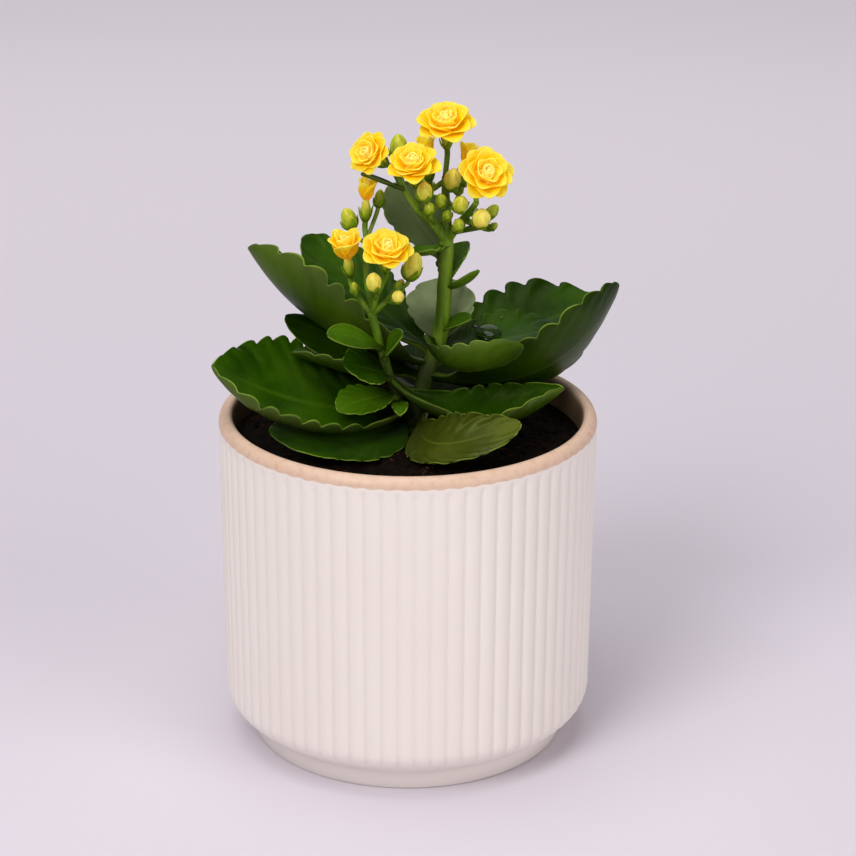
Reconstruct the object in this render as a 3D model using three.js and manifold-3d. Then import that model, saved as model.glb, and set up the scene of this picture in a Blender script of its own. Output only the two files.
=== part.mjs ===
// A small kalanchoe with double yellow flowers, growing in soil in a fluted ceramic pot.
// Millimetres, +Z up. The origin is the middle of the pot's flat base, and +Y points to the back.

import * as THREE from "three";
import { mergeVertices } from "three/addons/utils/BufferGeometryUtils.js";
import Module from "manifold-3d";

const wasm = await Module();
wasm.setup();

const TAU = Math.PI * 2;
const GAP = 0.3; // clear space between pieces that touch on the real plant

// ---------------------------------------------------------------- driving dimensions

const POT = {
  height: 109,
  rimRadius: 60, // outside, on the crests of the flutes
  bodyFootRadius: 59.2, // outside, just above the rounded lower corner
  cornerHeight: 16, // where the rounded corner starts
  cornerRadius: 7.5,
  footRadius: 50.5,
  footTopRadius: 51.5,
  footHeight: 6.5,
  innerRadius: 55.2,
  floorThickness: 7,
  lipHeight: 3.2, // smooth band above the flutes
  flutes: 72,
  fluteDepth: 0.9,
  insideSegments: 48,
};

const SOIL = {
  edgeHeight: 99.5,
  crownRise: 0.5, // the soil is heaped a little round the stem
  lump: 0.6,
  segments: 28,
};

// The main stem stands in the soil, leans a little and carries the tall flower head.
const STEM = {
  path: [
    [2, 4, 77],
    [2, 4, 100],
    [5, 5.5, 116],
    [10, 7, 131],
    [11.5, 8, 148],
    [12, 8, 165],
  ],
  footRadius: 3,
  topRadius: 2.1,
};

// The side stem leaves the main stem low down, and carries the short flower head.
const SIDE_STEM = {
  path: [
    [3, 4.5, 104],
    [-1.5, 1, 109],
    [-4, -1, 115],
    [-7.5, -3, 127],
    [-11.5, -5, 143],
  ],
  footRadius: 1.7,
  topRadius: 1.2,
};

const SLIVER = 0.04; // details smaller than this along a seam are left out
const PETAL = 0.6; // thickness of a petal

const BLADE = {
  marginThickness: 0.8,
  middleThickness: 1.2,
  petiole: 0.08, // share of the length
  petioleWidth: 3.4,
  petioleThickness: 2.4,
  skew: 1.2, // above 1, the blade is widest past its middle
  bluntness: 0.55, // below 1, its ends are rounder than a pointed oval's
  lipStart: 0.6, // share of the half width where a margin may turn up more steeply
  notch: 0.1, // how deep the notches between the lobes are, as a share of the half width
};

// Each leaf: on = the stem that it grows from and height = where its stalk leaves that stem, or
// root = where it starts, beside a stem; tip = its far end, width = across the widest part, arch
// and bow = the midrib's rise and sideways bend as shares of the length, roll = turn in degrees
// about the line from root to tip (left side up), cup = how far the left and the right half curl
// up in degrees, lip = how much more their margins turn up, teeth = rounded lobes on each margin.
const LEAVES = {
  left_front: {
    on: "main", height: 107.3, tip: [-61, -8, 126], width: 52,
    arch: -0.06, bow: 0.06, roll: -24, cup: [40, 15], lip: [60, 0], teeth: 7,
  },
  left_low: {
    on: "main", height: 101.8, tip: [-43, -18, 108.5], width: 35,
    arch: -0.03, bow: 0.11, roll: -12, cup: [16, 20], teeth: 6,
  },
  front: {
    root: [5.0, 3.4, 105.0], tip: [35, -24, 113.2], width: 22,
    arch: 0.145, bow: -0.36, roll: 35, cup: [40, 30], teeth: 6,
  },
  right_front: {
    on: "side", height: 119.4, tip: [49, -5, 118], width: 28.5,
    arch: -0.2, bow: -0.1, roll: 10, cup: [78, 85], teeth: 6,
  },
  right_inner: {
    root: [6.2, 4.9, 131.2], tip: [35.3, -19.2, 137.2], width: 26,
    arch: -0.24, bow: -0.12, roll: -18, cup: [20, 78], teeth: 4,
  },
  right_high: {
    on: "main", height: 118, tip: [67, 21.5, 143.6], width: 36,
    arch: -0.22, bow: 0, roll: -52, cup: [27, 26], teeth: 5,
  },
  right_back: {
    on: "main", height: 122, tip: [62, 38, 133.3], width: 42,
    arch: -0.02, bow: 0, roll: 14, cup: [24, 36], teeth: 5,
  },
  right_middle: {
    on: "main", height: 125.4, tip: [49, 17, 130], width: 28,
    arch: 0, bow: 0, roll: 12, cup: [20, 24], teeth: 5,
  },
  left_high: {
    on: "main", height: 122, tip: [-51, 24, 154.5], width: 54,
    arch: -0.12, bow: 0.02, roll: 24, cup: [76, 70], teeth: 5,
  },
  left_back: {
    on: "main", height: 125, tip: [-34, 40, 153.5], width: 27,
    arch: -0.02, bow: 0, roll: -10, cup: [20, 20], teeth: 6,
  },
  left_middle: {
    on: "main", height: 117, tip: [-39.5, 19.6, 132.9], width: 18,
    arch: 0, bow: 0, roll: -35, cup: [20, -50], teeth: 6,
  },
  left_inner: {
    on: "main", height: 112.4, tip: [-37, 7, 125], width: 25,
    arch: 0, bow: 0, roll: 0, cup: [72, 14], teeth: 5,
  },
  back: {
    on: "main", height: 102.3, tip: [2, 50.5, 112.5], width: 18,
    arch: 0.08, bow: 0, roll: 4, cup: [0, 0], teeth: 6,
  },
  back_left: {
    on: "main", height: 109.8, tip: [-33, 45, 121.5], width: 30,
    arch: 0.02, bow: -0.03, roll: 6, cup: [24, 28], teeth: 6,
  },
  back_right: {
    on: "main", height: 105.2, tip: [32, 45, 116], width: 30,
    arch: 0.02, bow: 0.02, roll: 6, cup: [24, 24], teeth: 6,
  },
  upright_back: {
    on: "main", height: 155, tip: [-6, 22, 176], width: 20,
    arch: 0.04, bow: 0, roll: -25, cup: [20, 20], teeth: 3,
  },
  pale_back: {
    on: "main", height: 127.6, tip: [11.5, 24, 144.5], width: 23,
    arch: 0.05, bow: 0, roll: 0, cup: [15, 15], teeth: 3,
  },
  wavy_right: {
    on: "main", height: 148, tip: [18, 18, 158.5], width: 15,
    arch: 0.05, bow: 0, roll: -20, cup: [28, 28], teeth: 3,
  },
  pointed_right: {
    on: "main", height: 147, tip: [22, 2, 154.5], width: 5.5,
    arch: -0.12, bow: 0, roll: -20, cup: [52, 52], teeth: 0,
  },
  curled_left: {
    on: "main", height: 161, tip: [1, -1, 161], width: 11,
    arch: -0.1, bow: 0, roll: 10, cup: [48, 48], teeth: 2,
  },
  small_bright: {
    on: "main", height: 132.5, tip: [20, 2, 139], width: 6.5,
    arch: 0.05, bow: 0, roll: 30, cup: [28, 28], teeth: 0,
  },
  side_left: {
    on: "side", height: 113.5, tip: [-22, -10, 112], width: 18,
    arch: 0.05, bow: 0, roll: -10, cup: [20, 20], teeth: 4,
  },
  side_upper: {
    on: "side", height: 120.5, tip: [-20, -9, 127], width: 18,
    arch: 0.02, bow: 0, roll: -25, cup: [20, 20], teeth: 4,
  },
  side_front: {
    on: "side", height: 111, tip: [-2.5, -9, 110], width: 6,
    arch: 0.1, bow: 0, roll: 0, cup: [36, 36], teeth: 2,
  },
  bract_left: {
    on: "side", height: 131, tip: [-25, -13.5, 138.3], width: 10.5,
    arch: 0.05, bow: 0, roll: -30, cup: [15, 15], teeth: 0,
  },
  bract_right: {
    on: "side", height: 127, tip: [-1.5, -8, 137], width: 9,
    arch: 0.05, bow: 0, roll: 45, cup: [20, 20], teeth: 0,
  },
};

// Each flower: form, the head that carries it, centre = middle of its petals, facing = where it
// looks, size = across its petals, and the branch and the share along it where its stalk starts.
const FLOWERS = {
  top: {
    form: "open", head: "tall", centre: [11.5, 2, 199], facing: [-0.05, -0.45, 0.9], size: 18.5,
    branch: 0, at: 1,
  },
  middle: {
    form: "open", head: "tall", centre: [1.8, -8, 189.2], facing: [-0.1, -0.5, 0.86], size: 17,
    branch: 1, at: 0.62,
  },
  left: {
    form: "open", head: "tall", centre: [-10.4, -2, 192], facing: [-0.55, -0.65, 0.55], size: 14.5,
    branch: 1, at: 1,
  },
  right: {
    form: "open", head: "tall", centre: [23, -5, 186], facing: [0.25, -0.75, 0.65], size: 18,
    branch: 2, at: 1,
  },
  hidden_left: {
    form: "cup", head: "tall", centre: [5.8, 6, 189], facing: [-0.1, 0.3, 0.95], size: 8,
    branch: 0, at: 0.95,
  },
  hidden_right: {
    form: "cup", head: "tall", centre: [17.6, 7, 187], facing: [0.2, 0.4, 0.9], size: 8,
    branch: 0, at: 1,
  },
  short_front: {
    form: "open", head: "short", centre: [-6.5, -13, 163.5], facing: [0.05, -0.5, 0.87], size: 17,
    branch: 1, at: 1,
  },
  short_left: {
    form: "half", head: "short", centre: [-18.6, -7.6, 161.2], facing: [-0.1, -0.3, 0.94], size: 11,
    branch: 0, at: 1,
  },
  short_top: {
    form: "cup", head: "short", centre: [-13, 0, 177.5], facing: [0.05, -0.1, 1], size: 8,
    branch: 3, at: 1,
  },
};

// Each bud: centre, length, width, and the branch and the share along it where its stalk starts.
const BUDS = {
  tall: [
    { centre: [13.5, -3, 185.5], length: 8.5, width: 5.6, branch: 0, at: 0.95 },
    { centre: [5, -9.5, 183.5], length: 6.5, width: 5, branch: 1, at: 0.45 },
    { centre: [10, -6, 179.5], length: 5.5, width: 3.9, branch: 0, at: 0.6 },
    { centre: [16, -8, 179], length: 6.2, width: 5, branch: 0, at: 0.7 },
    { centre: [22.5, -6, 174], length: 6.5, width: 6, branch: 2, at: 0.6 },
    { centre: [26, 1, 174], length: 5.2, width: 3.8, branch: 2, at: 0.7 },
    { centre: [26.5, -1, 169.8], length: 3, width: 2.2, branch: 2, at: 0.5 },
    { centre: [6.5, -7.5, 177.5], length: 4.6, width: 3.2, branch: 1, at: 0.3 },
    { centre: [12, -4.5, 174.5], length: 4.4, width: 3.2, branch: 0, at: 0.45 },
    { centre: [15.5, -5, 171.5], length: 4.6, width: 3.8, branch: 2, at: 0.25 },
    { centre: [-3, 8, 192], length: 9, width: 6, branch: 1, at: 0.95 },
    { centre: [17, 14, 181], length: 6, width: 4.4, branch: 0, at: 0.8 },
    { centre: [5.5, 14, 179], length: 6, width: 4.4, branch: 0, at: 0.7 },
  ],
  short: [
    { centre: [-10.5, -13, 155.5], length: 6.5, width: 5, branch: 1, at: 0.7 },
    { centre: [1.5, -8, 159], length: 9, width: 6, branch: 2, at: 1 },
    { centre: [-3, -12, 150.5], length: 4, width: 4, branch: 2, at: 0.6 },
    { centre: [-2.5, -6, 152], length: 4.2, width: 3.2, branch: 2, at: 0.8 },
    { centre: [-16.5, -11, 153], length: 4, width: 2.6, branch: 0, at: 0.8 },
    { centre: [-18.5, 1, 171.5], length: 6.8, width: 5, branch: 3, at: 0.95 },
    { centre: [-9, 4.5, 177], length: 5.5, width: 3.4, branch: 3, at: 1 },
  ],
};

// Branches of the flower heads: the points that each runs through, and its two end radii.
const BRANCHES = {
  tall: [
    { path: [[12, 8, 161], [11.8, 7, 170], [11.5, 5, 178], [11.3, 4, 184]], radii: [2, 1.1] },
    { path: [[12, 8, 162.5], [8, 5, 168.5], [3.5, 2, 173.5], [-2, 1, 181.5]], radii: [1.8, 0.9] },
    { path: [[12, 8, 162.5], [15, 5.5, 167.5], [18.5, 3, 172.5], [21, 0, 177]], radii: [1.7, 0.9] },
  ],
  short: [
    { path: [[-11.2, -4.9, 142], [-14.5, -6, 147], [-16.5, -7, 150]], radii: [1, 0.8] },
    { path: [[-11.2, -4.9, 142], [-9.5, -8, 150]], radii: [1.1, 0.9] },
    { path: [[-11.2, -4.9, 142], [-7, -7, 147], [-4, -8, 151]], radii: [1, 0.8] },
    { path: [[-11.2, -4.9, 142], [-13, -2.5, 154], [-13, -1, 165]], radii: [1.1, 0.9] },
  ],
};

// Narrow leaves on the flower heads, given as the leaves are, with a root of their own.
const BRACTS = {
  tall: [
    { root: [-1.5, 0.8, 181], tip: [-14.5, -3, 187], width: 4.5, roll: 0, cup: [28, 28] },
    { root: [13, 7, 165], tip: [25.5, -2, 170], width: 5, roll: 0, cup: [42, 42] },
  ],
  short: [],
};

// ---------------------------------------------------------------- solids and meshes

/** A closed three.js geometry as a manifold solid, with its shared vertices merged. */
function solid(geometry) {
  const plain = new THREE.BufferGeometry();
  plain.setAttribute("position", geometry.getAttribute("position").clone());
  if (geometry.index) plain.setIndex(geometry.index.clone());
  const merged = mergeVertices(plain, 1e-4);
  const kept = [];
  const index = merged.index.array;
  for (let i = 0; i < index.length; i += 3) {
    const [a, b, c] = [index[i], index[i + 1], index[i + 2]];
    if (a !== b && b !== c && c !== a) kept.push(a, b, c);
  }
  const made = new wasm.Manifold(
    new wasm.Mesh({
      numProp: 3,
      vertProperties: new Float32Array(merged.attributes.position.array),
      triVerts: new Uint32Array(kept),
    }),
  );
  return made;
}

/** A manifold solid as a three.js geometry. */
function geometryOf(made) {
  const mesh = made.getMesh();
  const geometry = new THREE.BufferGeometry();
  const positions = new Float32Array(mesh.numVert * 3);
  for (let i = 0; i < mesh.numVert; i++) {
    const from = i * mesh.numProp;
    positions.set(mesh.vertProperties.subarray(from, from + 3), i * 3);
  }
  geometry.setAttribute("position", new THREE.BufferAttribute(positions, 3));
  geometry.setIndex(new THREE.BufferAttribute(new Uint32Array(mesh.triVerts), 1));
  geometry.computeVertexNormals();
  return geometry;
}

const union = (solids) => solids.reduce((whole, next) => whole.add(next));

/** Several solids as one, without slivers along the seams where they meet. */
const fused = (solids) => union(solids).simplify(SLIVER);

/** The largest connected body of a solid; what a cut leaves loose is dropped. */
function largestBody(made) {
  const bodies = made.decompose();
  return bodies.reduce((best, next) => (next.volume() > best.volume() ? next : best));
}

/** A solid turned from a profile of [radius, height] pairs about +Z. */
function turned(profile, segments, reshape = null) {
  const points = profile.map(([radius, height]) => new THREE.Vector2(radius, height));
  const geometry = new THREE.LatheGeometry(points, segments).rotateX(Math.PI / 2);
  if (reshape) reshapeVertices(geometry, reshape);
  return solid(geometry);
}

function reshapeVertices(geometry, reshape) {
  const position = geometry.getAttribute("position");
  const point = new THREE.Vector3();
  for (let i = 0; i < position.count; i++) {
    point.fromBufferAttribute(position, i);
    reshape(point);
    position.setXYZ(i, point.x, point.y, point.z);
  }
}

const vector = ([x, y, z]) => new THREE.Vector3(x, y, z);
const { degToRad, lerp, smoothstep } = THREE.MathUtils;

const group = new THREE.Group();

function place(name, made, material) {
  const mesh = new THREE.Mesh(geometryOf(made), material);
  mesh.name = name;
  group.add(mesh);
}

const finish = (color, roughness) =>
  new THREE.MeshStandardMaterial({ color, roughness, metalness: 0 });

const GLAZE_FINISH = finish(0xf0e6dc, 0.45);
const SOIL_FINISH = finish(0x2b2019, 0.95);
const LEAF_FINISH = finish(0x2f6412, 0.35);
const STEM_FINISH = finish(0x5b8a1e, 0.45);
const PETAL_FINISH = finish(0xfbd02a, 0.5);

// ---------------------------------------------------------------- pot

/** The pot: a fluted wall with a rounded lower corner, a plain foot and a smooth rounded lip. */
function makePot() {
  const { height, rimRadius, bodyFootRadius, cornerHeight, cornerRadius } = POT;
  const wallTop = height - POT.lipHeight;
  const corner = [40, 10].map((degrees) => {
    const angle = degToRad(degrees);
    return [
      bodyFootRadius - cornerRadius * (1 - Math.cos(angle)),
      cornerHeight - cornerRadius * Math.sin(angle),
    ];
  });
  const fluteEnd = corner[0][1];
  const body = turned(
    [
      [0, POT.footHeight - 2],
      [POT.footTopRadius - 1, POT.footHeight - 0.5],
      [POT.footTopRadius + 3.2, fluteEnd - 2.2],
      ...corner,
      [rimRadius, wallTop - 0.8],
      [rimRadius - 0.2, wallTop + 0.6],
      [rimRadius - 1.8, height],
      [0, height],
    ],
    POT.flutes * 2,
    (point) => {
      if (point.z < fluteEnd - 0.1 || point.z > wallTop) return;
      const radius = Math.hypot(point.x, point.y);
      const turn = Math.atan2(point.y, point.x);
      const valley = (1 - Math.cos(turn * POT.flutes)) / 2;
      const share = (radius - POT.fluteDepth * valley) / radius;
      point.x *= share;
      point.y *= share;
    },
  );
  const foot = turned(
    [
      [0, 0],
      [POT.footRadius - 0.8, 0],
      [POT.footRadius, 0.8],
      [POT.footTopRadius, POT.footHeight],
      [0, POT.footHeight + 1],
    ],
    POT.insideSegments,
  );
  return body.add(foot).subtract(potInside(0));
}

/** The inside of the pot, shrunk by an allowance. */
function potInside(allowance) {
  const floor = POT.floorThickness + allowance;
  const radius = POT.innerRadius - allowance;
  return turned(
    [
      [0, floor],
      [radius - 6, floor],
      [radius - 0.6, floor + 6],
      [radius, POT.height - 1.4],
      [radius + 1.6, POT.height + 1],
      [0, POT.height + 1],
    ],
    POT.insideSegments,
  );
}

// ---------------------------------------------------------------- stems

const smoothPath = (path) => new THREE.CatmullRomCurve3(path.map(vector), false, "centripetal");

/** A round stalk along a smooth curve, tapering from one radius to the other. */
function stalk(path, radii, { sides = 8, steps = 8, grow = 0 } = {}) {
  const curve = smoothPath(path);
  const corners = Array.from({ length: sides }, (_, i) => {
    const turn = (i / sides) * TAU;
    return new THREE.Vector2(Math.cos(turn), Math.sin(turn));
  });
  const geometry = new THREE.ExtrudeGeometry(new THREE.Shape(corners), {
    extrudePath: curve,
    steps,
    bevelEnabled: false,
  });
  const centres = curve.getSpacedPoints(steps);
  reshapeVertices(geometry, (point) => {
    const distances = centres.map((centre) => centre.distanceTo(point));
    const nearest = distances.indexOf(Math.min(...distances));
    const radius = lerp(radii[0], radii[1], nearest / steps) + grow;
    point.sub(centres[nearest]).multiplyScalar(radius).add(centres[nearest]);
  });
  return solid(geometry);
}

/** The middle of a stem at a height. */
function stemPointAt(name, height) {
  const { path } = name === "main" ? STEM : SIDE_STEM;
  const points = smoothPath(path).getSpacedPoints(60);
  return points.reduce((best, next) =>
    Math.abs(next.z - height) < Math.abs(best.z - height) ? next : best,
  );
}

const mainStem = (grow) =>
  stalk(STEM.path, [STEM.footRadius, STEM.topRadius], { sides: 8, steps: 10, grow });
const sideStem = (grow) =>
  stalk(SIDE_STEM.path, [SIDE_STEM.footRadius, SIDE_STEM.topRadius], { sides: 6, steps: 6, grow });

// ---------------------------------------------------------------- leaves

/** Half width of a leaf along its length, from 0 at the ends to 1 at the widest part. */
function leafOutline(along, petioleWidth) {
  if (along <= BLADE.petiole) return petioleWidth;
  const share = (along - BLADE.petiole) / (1 - BLADE.petiole);
  const oval = Math.sin(Math.PI * share ** BLADE.skew) ** BLADE.bluntness;
  return along < 0.5 ? Math.max(petioleWidth, oval) : oval;
}

/**
 * A place on a leaf's cross section: how far it lies to the left of the midrib and above it. The
 * section leaves the midrib level, and turns up by the cup's angle, and by the lip's near its end.
 */
function sectionPoint(half, across, cup, lip) {
  const steps = 8;
  const step = (half * across) / steps;
  const point = { left: 0, above: 0 };
  for (let i = 0; i < steps; i++) {
    const share = ((i + 0.5) / steps) * Math.abs(across);
    const past = Math.max(0, share - BLADE.lipStart) / (1 - BLADE.lipStart);
    const angle = degToRad(cup * share + lip * past);
    point.left += Math.cos(angle) * step;
    point.above += Math.sin(angle) * Math.abs(step);
  }
  return point;
}

/** The curved middle surface of a leaf: a point for each place along it and across it. */
function leafSurface(leaf) {
  const { width, arch = 0, bow = 0, cup, lip = [0, 0] } = leaf;
  const roll = degToRad(leaf.roll);
  const root = leaf.root ? vector(leaf.root) : stemPointAt(leaf.on, leaf.height);
  const along = vector(leaf.tip).sub(root);
  const length = along.length();
  along.normalize();
  const level = new THREE.Vector3(-along.y, along.x, 0).normalize();
  const upright = new THREE.Vector3().crossVectors(along, level);
  const left = level.clone().multiplyScalar(Math.cos(roll)).addScaledVector(upright, Math.sin(roll));
  const face = new THREE.Vector3().crossVectors(along, left);
  const petioleWidth = Math.min(0.5, BLADE.petioleWidth / width);
  return (t, s) => {
    const hump = 4 * t * (1 - t) * length;
    const slope = 4 * (1 - 2 * t);
    const forward = along.clone().addScaledVector(face, arch * slope);
    forward.addScaledVector(left, bow * slope).normalize();
    const side = left.clone().addScaledVector(forward, -left.dot(forward)).normalize();
    const up = new THREE.Vector3().crossVectors(forward, side);
    const half = (width / 2) * leafOutline(t, petioleWidth);
    const hand = s > 0 ? 0 : 1;
    const { left: aside, above } = sectionPoint(half, s, cup[hand], lip[hand]);
    return root
      .clone()
      .addScaledVector(along, t * length)
      .addScaledVector(face, arch * hump)
      .addScaledVector(left, bow * hump)
      .addScaledVector(side, aside)
      .addScaledVector(up, above);
  };
}

/** Rows along a leaf: its petiole, then a notch and a lobe in turn, and the tip. */
function leafRows(teeth) {
  if (!teeth) return [0, 0.12, 0.3, 0.55, 0.8].map((t) => ({ t, cut: 0 }));
  const rows = [0, 0.1, 0.2].map((t) => ({ t, cut: 0 }));
  const first = 0.32;
  const step = (0.97 - first) / teeth;
  for (let i = 0; i < teeth; i++) {
    rows.push({ t: first + i * step, cut: 1 });
    rows.push({ t: first + (i + 0.55) * step, cut: 0 });
  }
  return rows;
}

/** A closed solid between two like layers of points: their faces and the rim that joins them. */
function sheet(top, bottom, faces, rim) {
  const count = top.length;
  const index = [];
  for (const [a, b, c] of faces) index.push(a, b, c, a + count, c + count, b + count);
  rim.forEach((a, i) => {
    const b = rim[(i + 1) % rim.length];
    index.push(a, a + count, b + count, a, b + count, b);
  });
  const geometry = new THREE.BufferGeometry().setFromPoints([...top, ...bottom]);
  geometry.setIndex(index);
  return solid(geometry);
}

/** A thin closed blade about a surface, with both faces split into triangles alike. */
function blade(surface, rows, columns, thickness, notch) {
  const nudge = 1e-3;
  const layers = { top: [], bottom: [] };
  const addPoint = (t, s, edge) => {
    const middle = surface(t, s * edge);
    const alongT = surface(Math.min(t + nudge, 1), s).sub(surface(Math.max(t - nudge, 0), s));
    const acrossS = surface(t, s + nudge).sub(surface(t, s - nudge));
    const normal = new THREE.Vector3().crossVectors(alongT, acrossS).normalize();
    const half = thickness(t, s) / 2;
    layers.top.push(middle.clone().addScaledVector(normal, half));
    layers.bottom.push(middle.clone().addScaledVector(normal, -half));
  };
  for (const { t, cut } of rows) {
    for (const s of columns) addPoint(t, s, Math.abs(s) === 1 ? 1 - notch * cut : 1);
  }
  const across = columns.length;
  const tipIndex = rows.length * across;
  const tip = surface(1, 0);
  const back = surface(0.98, 0);
  const tipNormal = new THREE.Vector3()
    .crossVectors(tip.clone().sub(back), surface(0.9, 0.1).sub(surface(0.9, -0.1)))
    .normalize();
  const tipHalf = thickness(1, 0) / 2;
  layers.top.push(tip.clone().addScaledVector(tipNormal, tipHalf));
  layers.bottom.push(tip.clone().addScaledVector(tipNormal, -tipHalf));

  const faces = [];
  for (let r = 0; r + 1 < rows.length; r++) {
    for (let c = 0; c + 1 < across; c++) {
      const a = r * across + c;
      const b = a + across;
      if (columns[c] < 0) faces.push([a, b + 1, a + 1], [a, b, b + 1]);
      else faces.push([a, b, a + 1], [a + 1, b, b + 1]);
    }
  }
  const lastRow = (rows.length - 1) * across;
  for (let c = 0; c + 1 < across; c++) faces.push([lastRow + c, tipIndex, lastRow + c + 1]);

  const rim = [];
  for (let c = 0; c < across; c++) rim.push(c);
  for (let r = 1; r < rows.length; r++) rim.push(r * across + across - 1);
  rim.push(tipIndex);
  for (let r = rows.length - 1; r > 0; r--) rim.push(r * across);

  return sheet(layers.top, layers.bottom, faces, rim.reverse());
}

/** A leaf: a thick petiole that spreads into a cupped blade with rounded lobes on its margins. */
function makeLeaf(leaf) {
  const { petioleThickness, middleThickness, marginThickness, notch } = BLADE;
  const columns = leaf.width >= 36 ? [-1, -0.6, 0, 0.6, 1] : [-1, 0, 1];
  const stout = leaf.width >= 8 ? petioleThickness : 0.6 * petioleThickness;
  const thickness = (t, s) => {
    const spread = lerp(middleThickness, marginThickness, Math.abs(s));
    return lerp(stout, spread, smoothstep(t, 0, 0.3));
  };
  return blade(leafSurface(leaf), leafRows(leaf.teeth ?? 0), columns, thickness, notch);
}

// ---------------------------------------------------------------- buds and flowers

/** The turn and shift that bring +Z at the origin to a direction at a place. */
function standing(facing, at, spin = 0) {
  const up = new THREE.Vector3(0, 0, 1);
  const turn = new THREE.Quaternion().setFromUnitVectors(up, vector(facing).normalize());
  turn.multiply(new THREE.Quaternion().setFromAxisAngle(up, spin));
  return new THREE.Matrix4().compose(vector(at), turn, new THREE.Vector3(1, 1, 1));
}

/** A turned piece on +Z, moved by a matrix. */
function turnedAt(profile, segments, matrix) {
  return turned(profile, segments, (point) => point.applyMatrix4(matrix));
}

/** The point where a stalk leaves its branch. */
const branchPoint = (head, { branch, at }) => smoothPath(BRANCHES[head][branch].path).getPointAt(at);

/** A bud with its stalk: an egg of closed petals that comes to a blunt point. */
function makeBud(head, bud) {
  const { centre, length, width } = bud;
  const from = branchPoint(head, bud);
  const facing = vector(centre).sub(from).normalize().add(new THREE.Vector3(0, 0, 1)).normalize();
  const base = vector(centre).addScaledVector(facing, -length / 2);
  const radius = width / 2;
  const egg = turnedAt(
    [
      [0, 0],
      [radius * 0.75, length * 0.12],
      [radius, length * 0.45],
      [radius * 0.6, length * 0.84],
      [0, length],
    ],
    5,
    standing(facing.toArray(), base.toArray()),
  );
  const neck = base.clone().addScaledVector(facing, -length * 0.2);
  const end = base.clone().addScaledVector(facing, length * 0.2);
  const path = [from.toArray(), neck.toArray(), end.toArray()];
  return [egg, stalk(path, [0.65, 0.6], { sides: 4, steps: 2 })];
}

// The rings of petals of each form: number of petals, how far out and how high their tips reach
// as shares of the flower's size, and the ring's turn in degrees.
const RINGS = {
  open: [
    { petals: 8, reach: 0.5, height: 0.12, spin: 0 },
    { petals: 6, reach: 0.38, height: 0.24, spin: 20 },
    { petals: 4, reach: 0.22, height: 0.31, spin: 8 },
  ],
  half: [
    { petals: 6, reach: 0.5, height: 0.55, spin: 0 },
    { petals: 5, reach: 0.27, height: 0.62, spin: 30 },
  ],
  cup: [
    { petals: 5, reach: 0.42, height: 0.9, spin: 10 },
  ],
};
const TUBE = { length: 4, topRadius: 1.8, footRadius: 1.2, sides: 5 };
const CALYX = { length: 3, radius: 1.7 };

/** One ring of pointed petals, joined at their roots into a thin cup about +Z. */
function petalRing({ petals, reach, height, spin }, size) {
  const start = new THREE.Vector2(0, 0);
  const tip = new THREE.Vector2(reach, height).multiplyScalar(size);
  const knee = new THREE.Vector2(tip.x * 0.8, tip.y * 0.2);
  const rise = new THREE.QuadraticBezierCurve(start, knee, tip);
  const halfTurn = Math.PI / petals;
  const top = [];
  const bottom = [];
  const addPoint = (share, turn, lift) => {
    const flat = rise.getPoint(share);
    const slope = rise.getTangent(share);
    const angle = degToRad(spin) + turn;
    const at = (side) => {
      const radius = flat.x - slope.y * side;
      const level = flat.y + slope.x * side + lift * size;
      return new THREE.Vector3(radius * Math.cos(angle), radius * Math.sin(angle), level);
    };
    top.push(at(PETAL / 2));
    bottom.push(at(-PETAL / 2));
    return top.length - 1;
  };
  const heart = 0;
  top.push(new THREE.Vector3(0, 0, PETAL / 2));
  bottom.push(new THREE.Vector3(0, 0, -PETAL / 2));
  const notches = [];
  const lobes = [];
  for (let i = 0; i < petals; i++) {
    const middle = 2 * i * halfTurn;
    notches.push(addPoint(0.45, middle - halfTurn, 0.02));
    lobes.push([
      addPoint(0.55, middle, -0.02),
      addPoint(0.84, middle - 0.6 * halfTurn, 0.02),
      addPoint(1, middle, 0),
      addPoint(0.84, middle + 0.6 * halfTurn, 0.02),
    ]);
  }
  const faces = [];
  const rim = [];
  lobes.forEach(([keel, right, point, left], i) => {
    const before = notches[i];
    const after = notches[(i + 1) % petals];
    faces.push([heart, before, keel], [heart, keel, after], [keel, before, right]);
    faces.push([keel, right, point], [keel, point, left], [keel, left, after]);
    rim.push(before, right, point, left);
  });
  return sheet(top, bottom, faces, rim);
}

/** A flower: rings of pointed petals round a closed heart, on a short tube. */
function makeFlower({ form, centre, facing, size }, spin) {
  const rings = RINGS[form];
  const inner = rings.at(-1);
  const heart = turned(
    [
      [0, -TUBE.length],
      [TUBE.footRadius, -TUBE.length],
      [TUBE.topRadius, -0.6],
      [size * 0.09, inner.height * size * 0.6],
      [0, inner.height * size * 0.85],
    ],
    TUBE.sides,
  );
  const flower = fused([heart, ...rings.map((ring) => petalRing(ring, size))]);
  return flower.transform(standing(facing, centre, spin).elements);
}

/** The green stalk and calyx that carry a flower, ending just below its tube. */
function makeFlowerStalk(flower) {
  const axis = vector(flower.facing).normalize();
  const seat = vector(flower.centre).addScaledVector(axis, -TUBE.length - GAP);
  const foot = seat.clone().addScaledVector(axis, -CALYX.length);
  const calyx = turnedAt(
    [
      [0, 0],
      [CALYX.radius, CALYX.length * 0.5],
      [CALYX.radius, CALYX.length],
      [0, CALYX.length],
    ],
    5,
    standing(axis.toArray(), foot.toArray()),
  );
  const lead = foot.clone().addScaledVector(axis, -2);
  const end = foot.clone().addScaledVector(axis, CALYX.length * 0.4);
  const from = branchPoint(flower.head, flower);
  const path = [from.toArray(), lead.toArray(), end.toArray()];
  return [calyx, stalk(path, [0.85, 0.8], { sides: 5, steps: 3 })];
}

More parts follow.
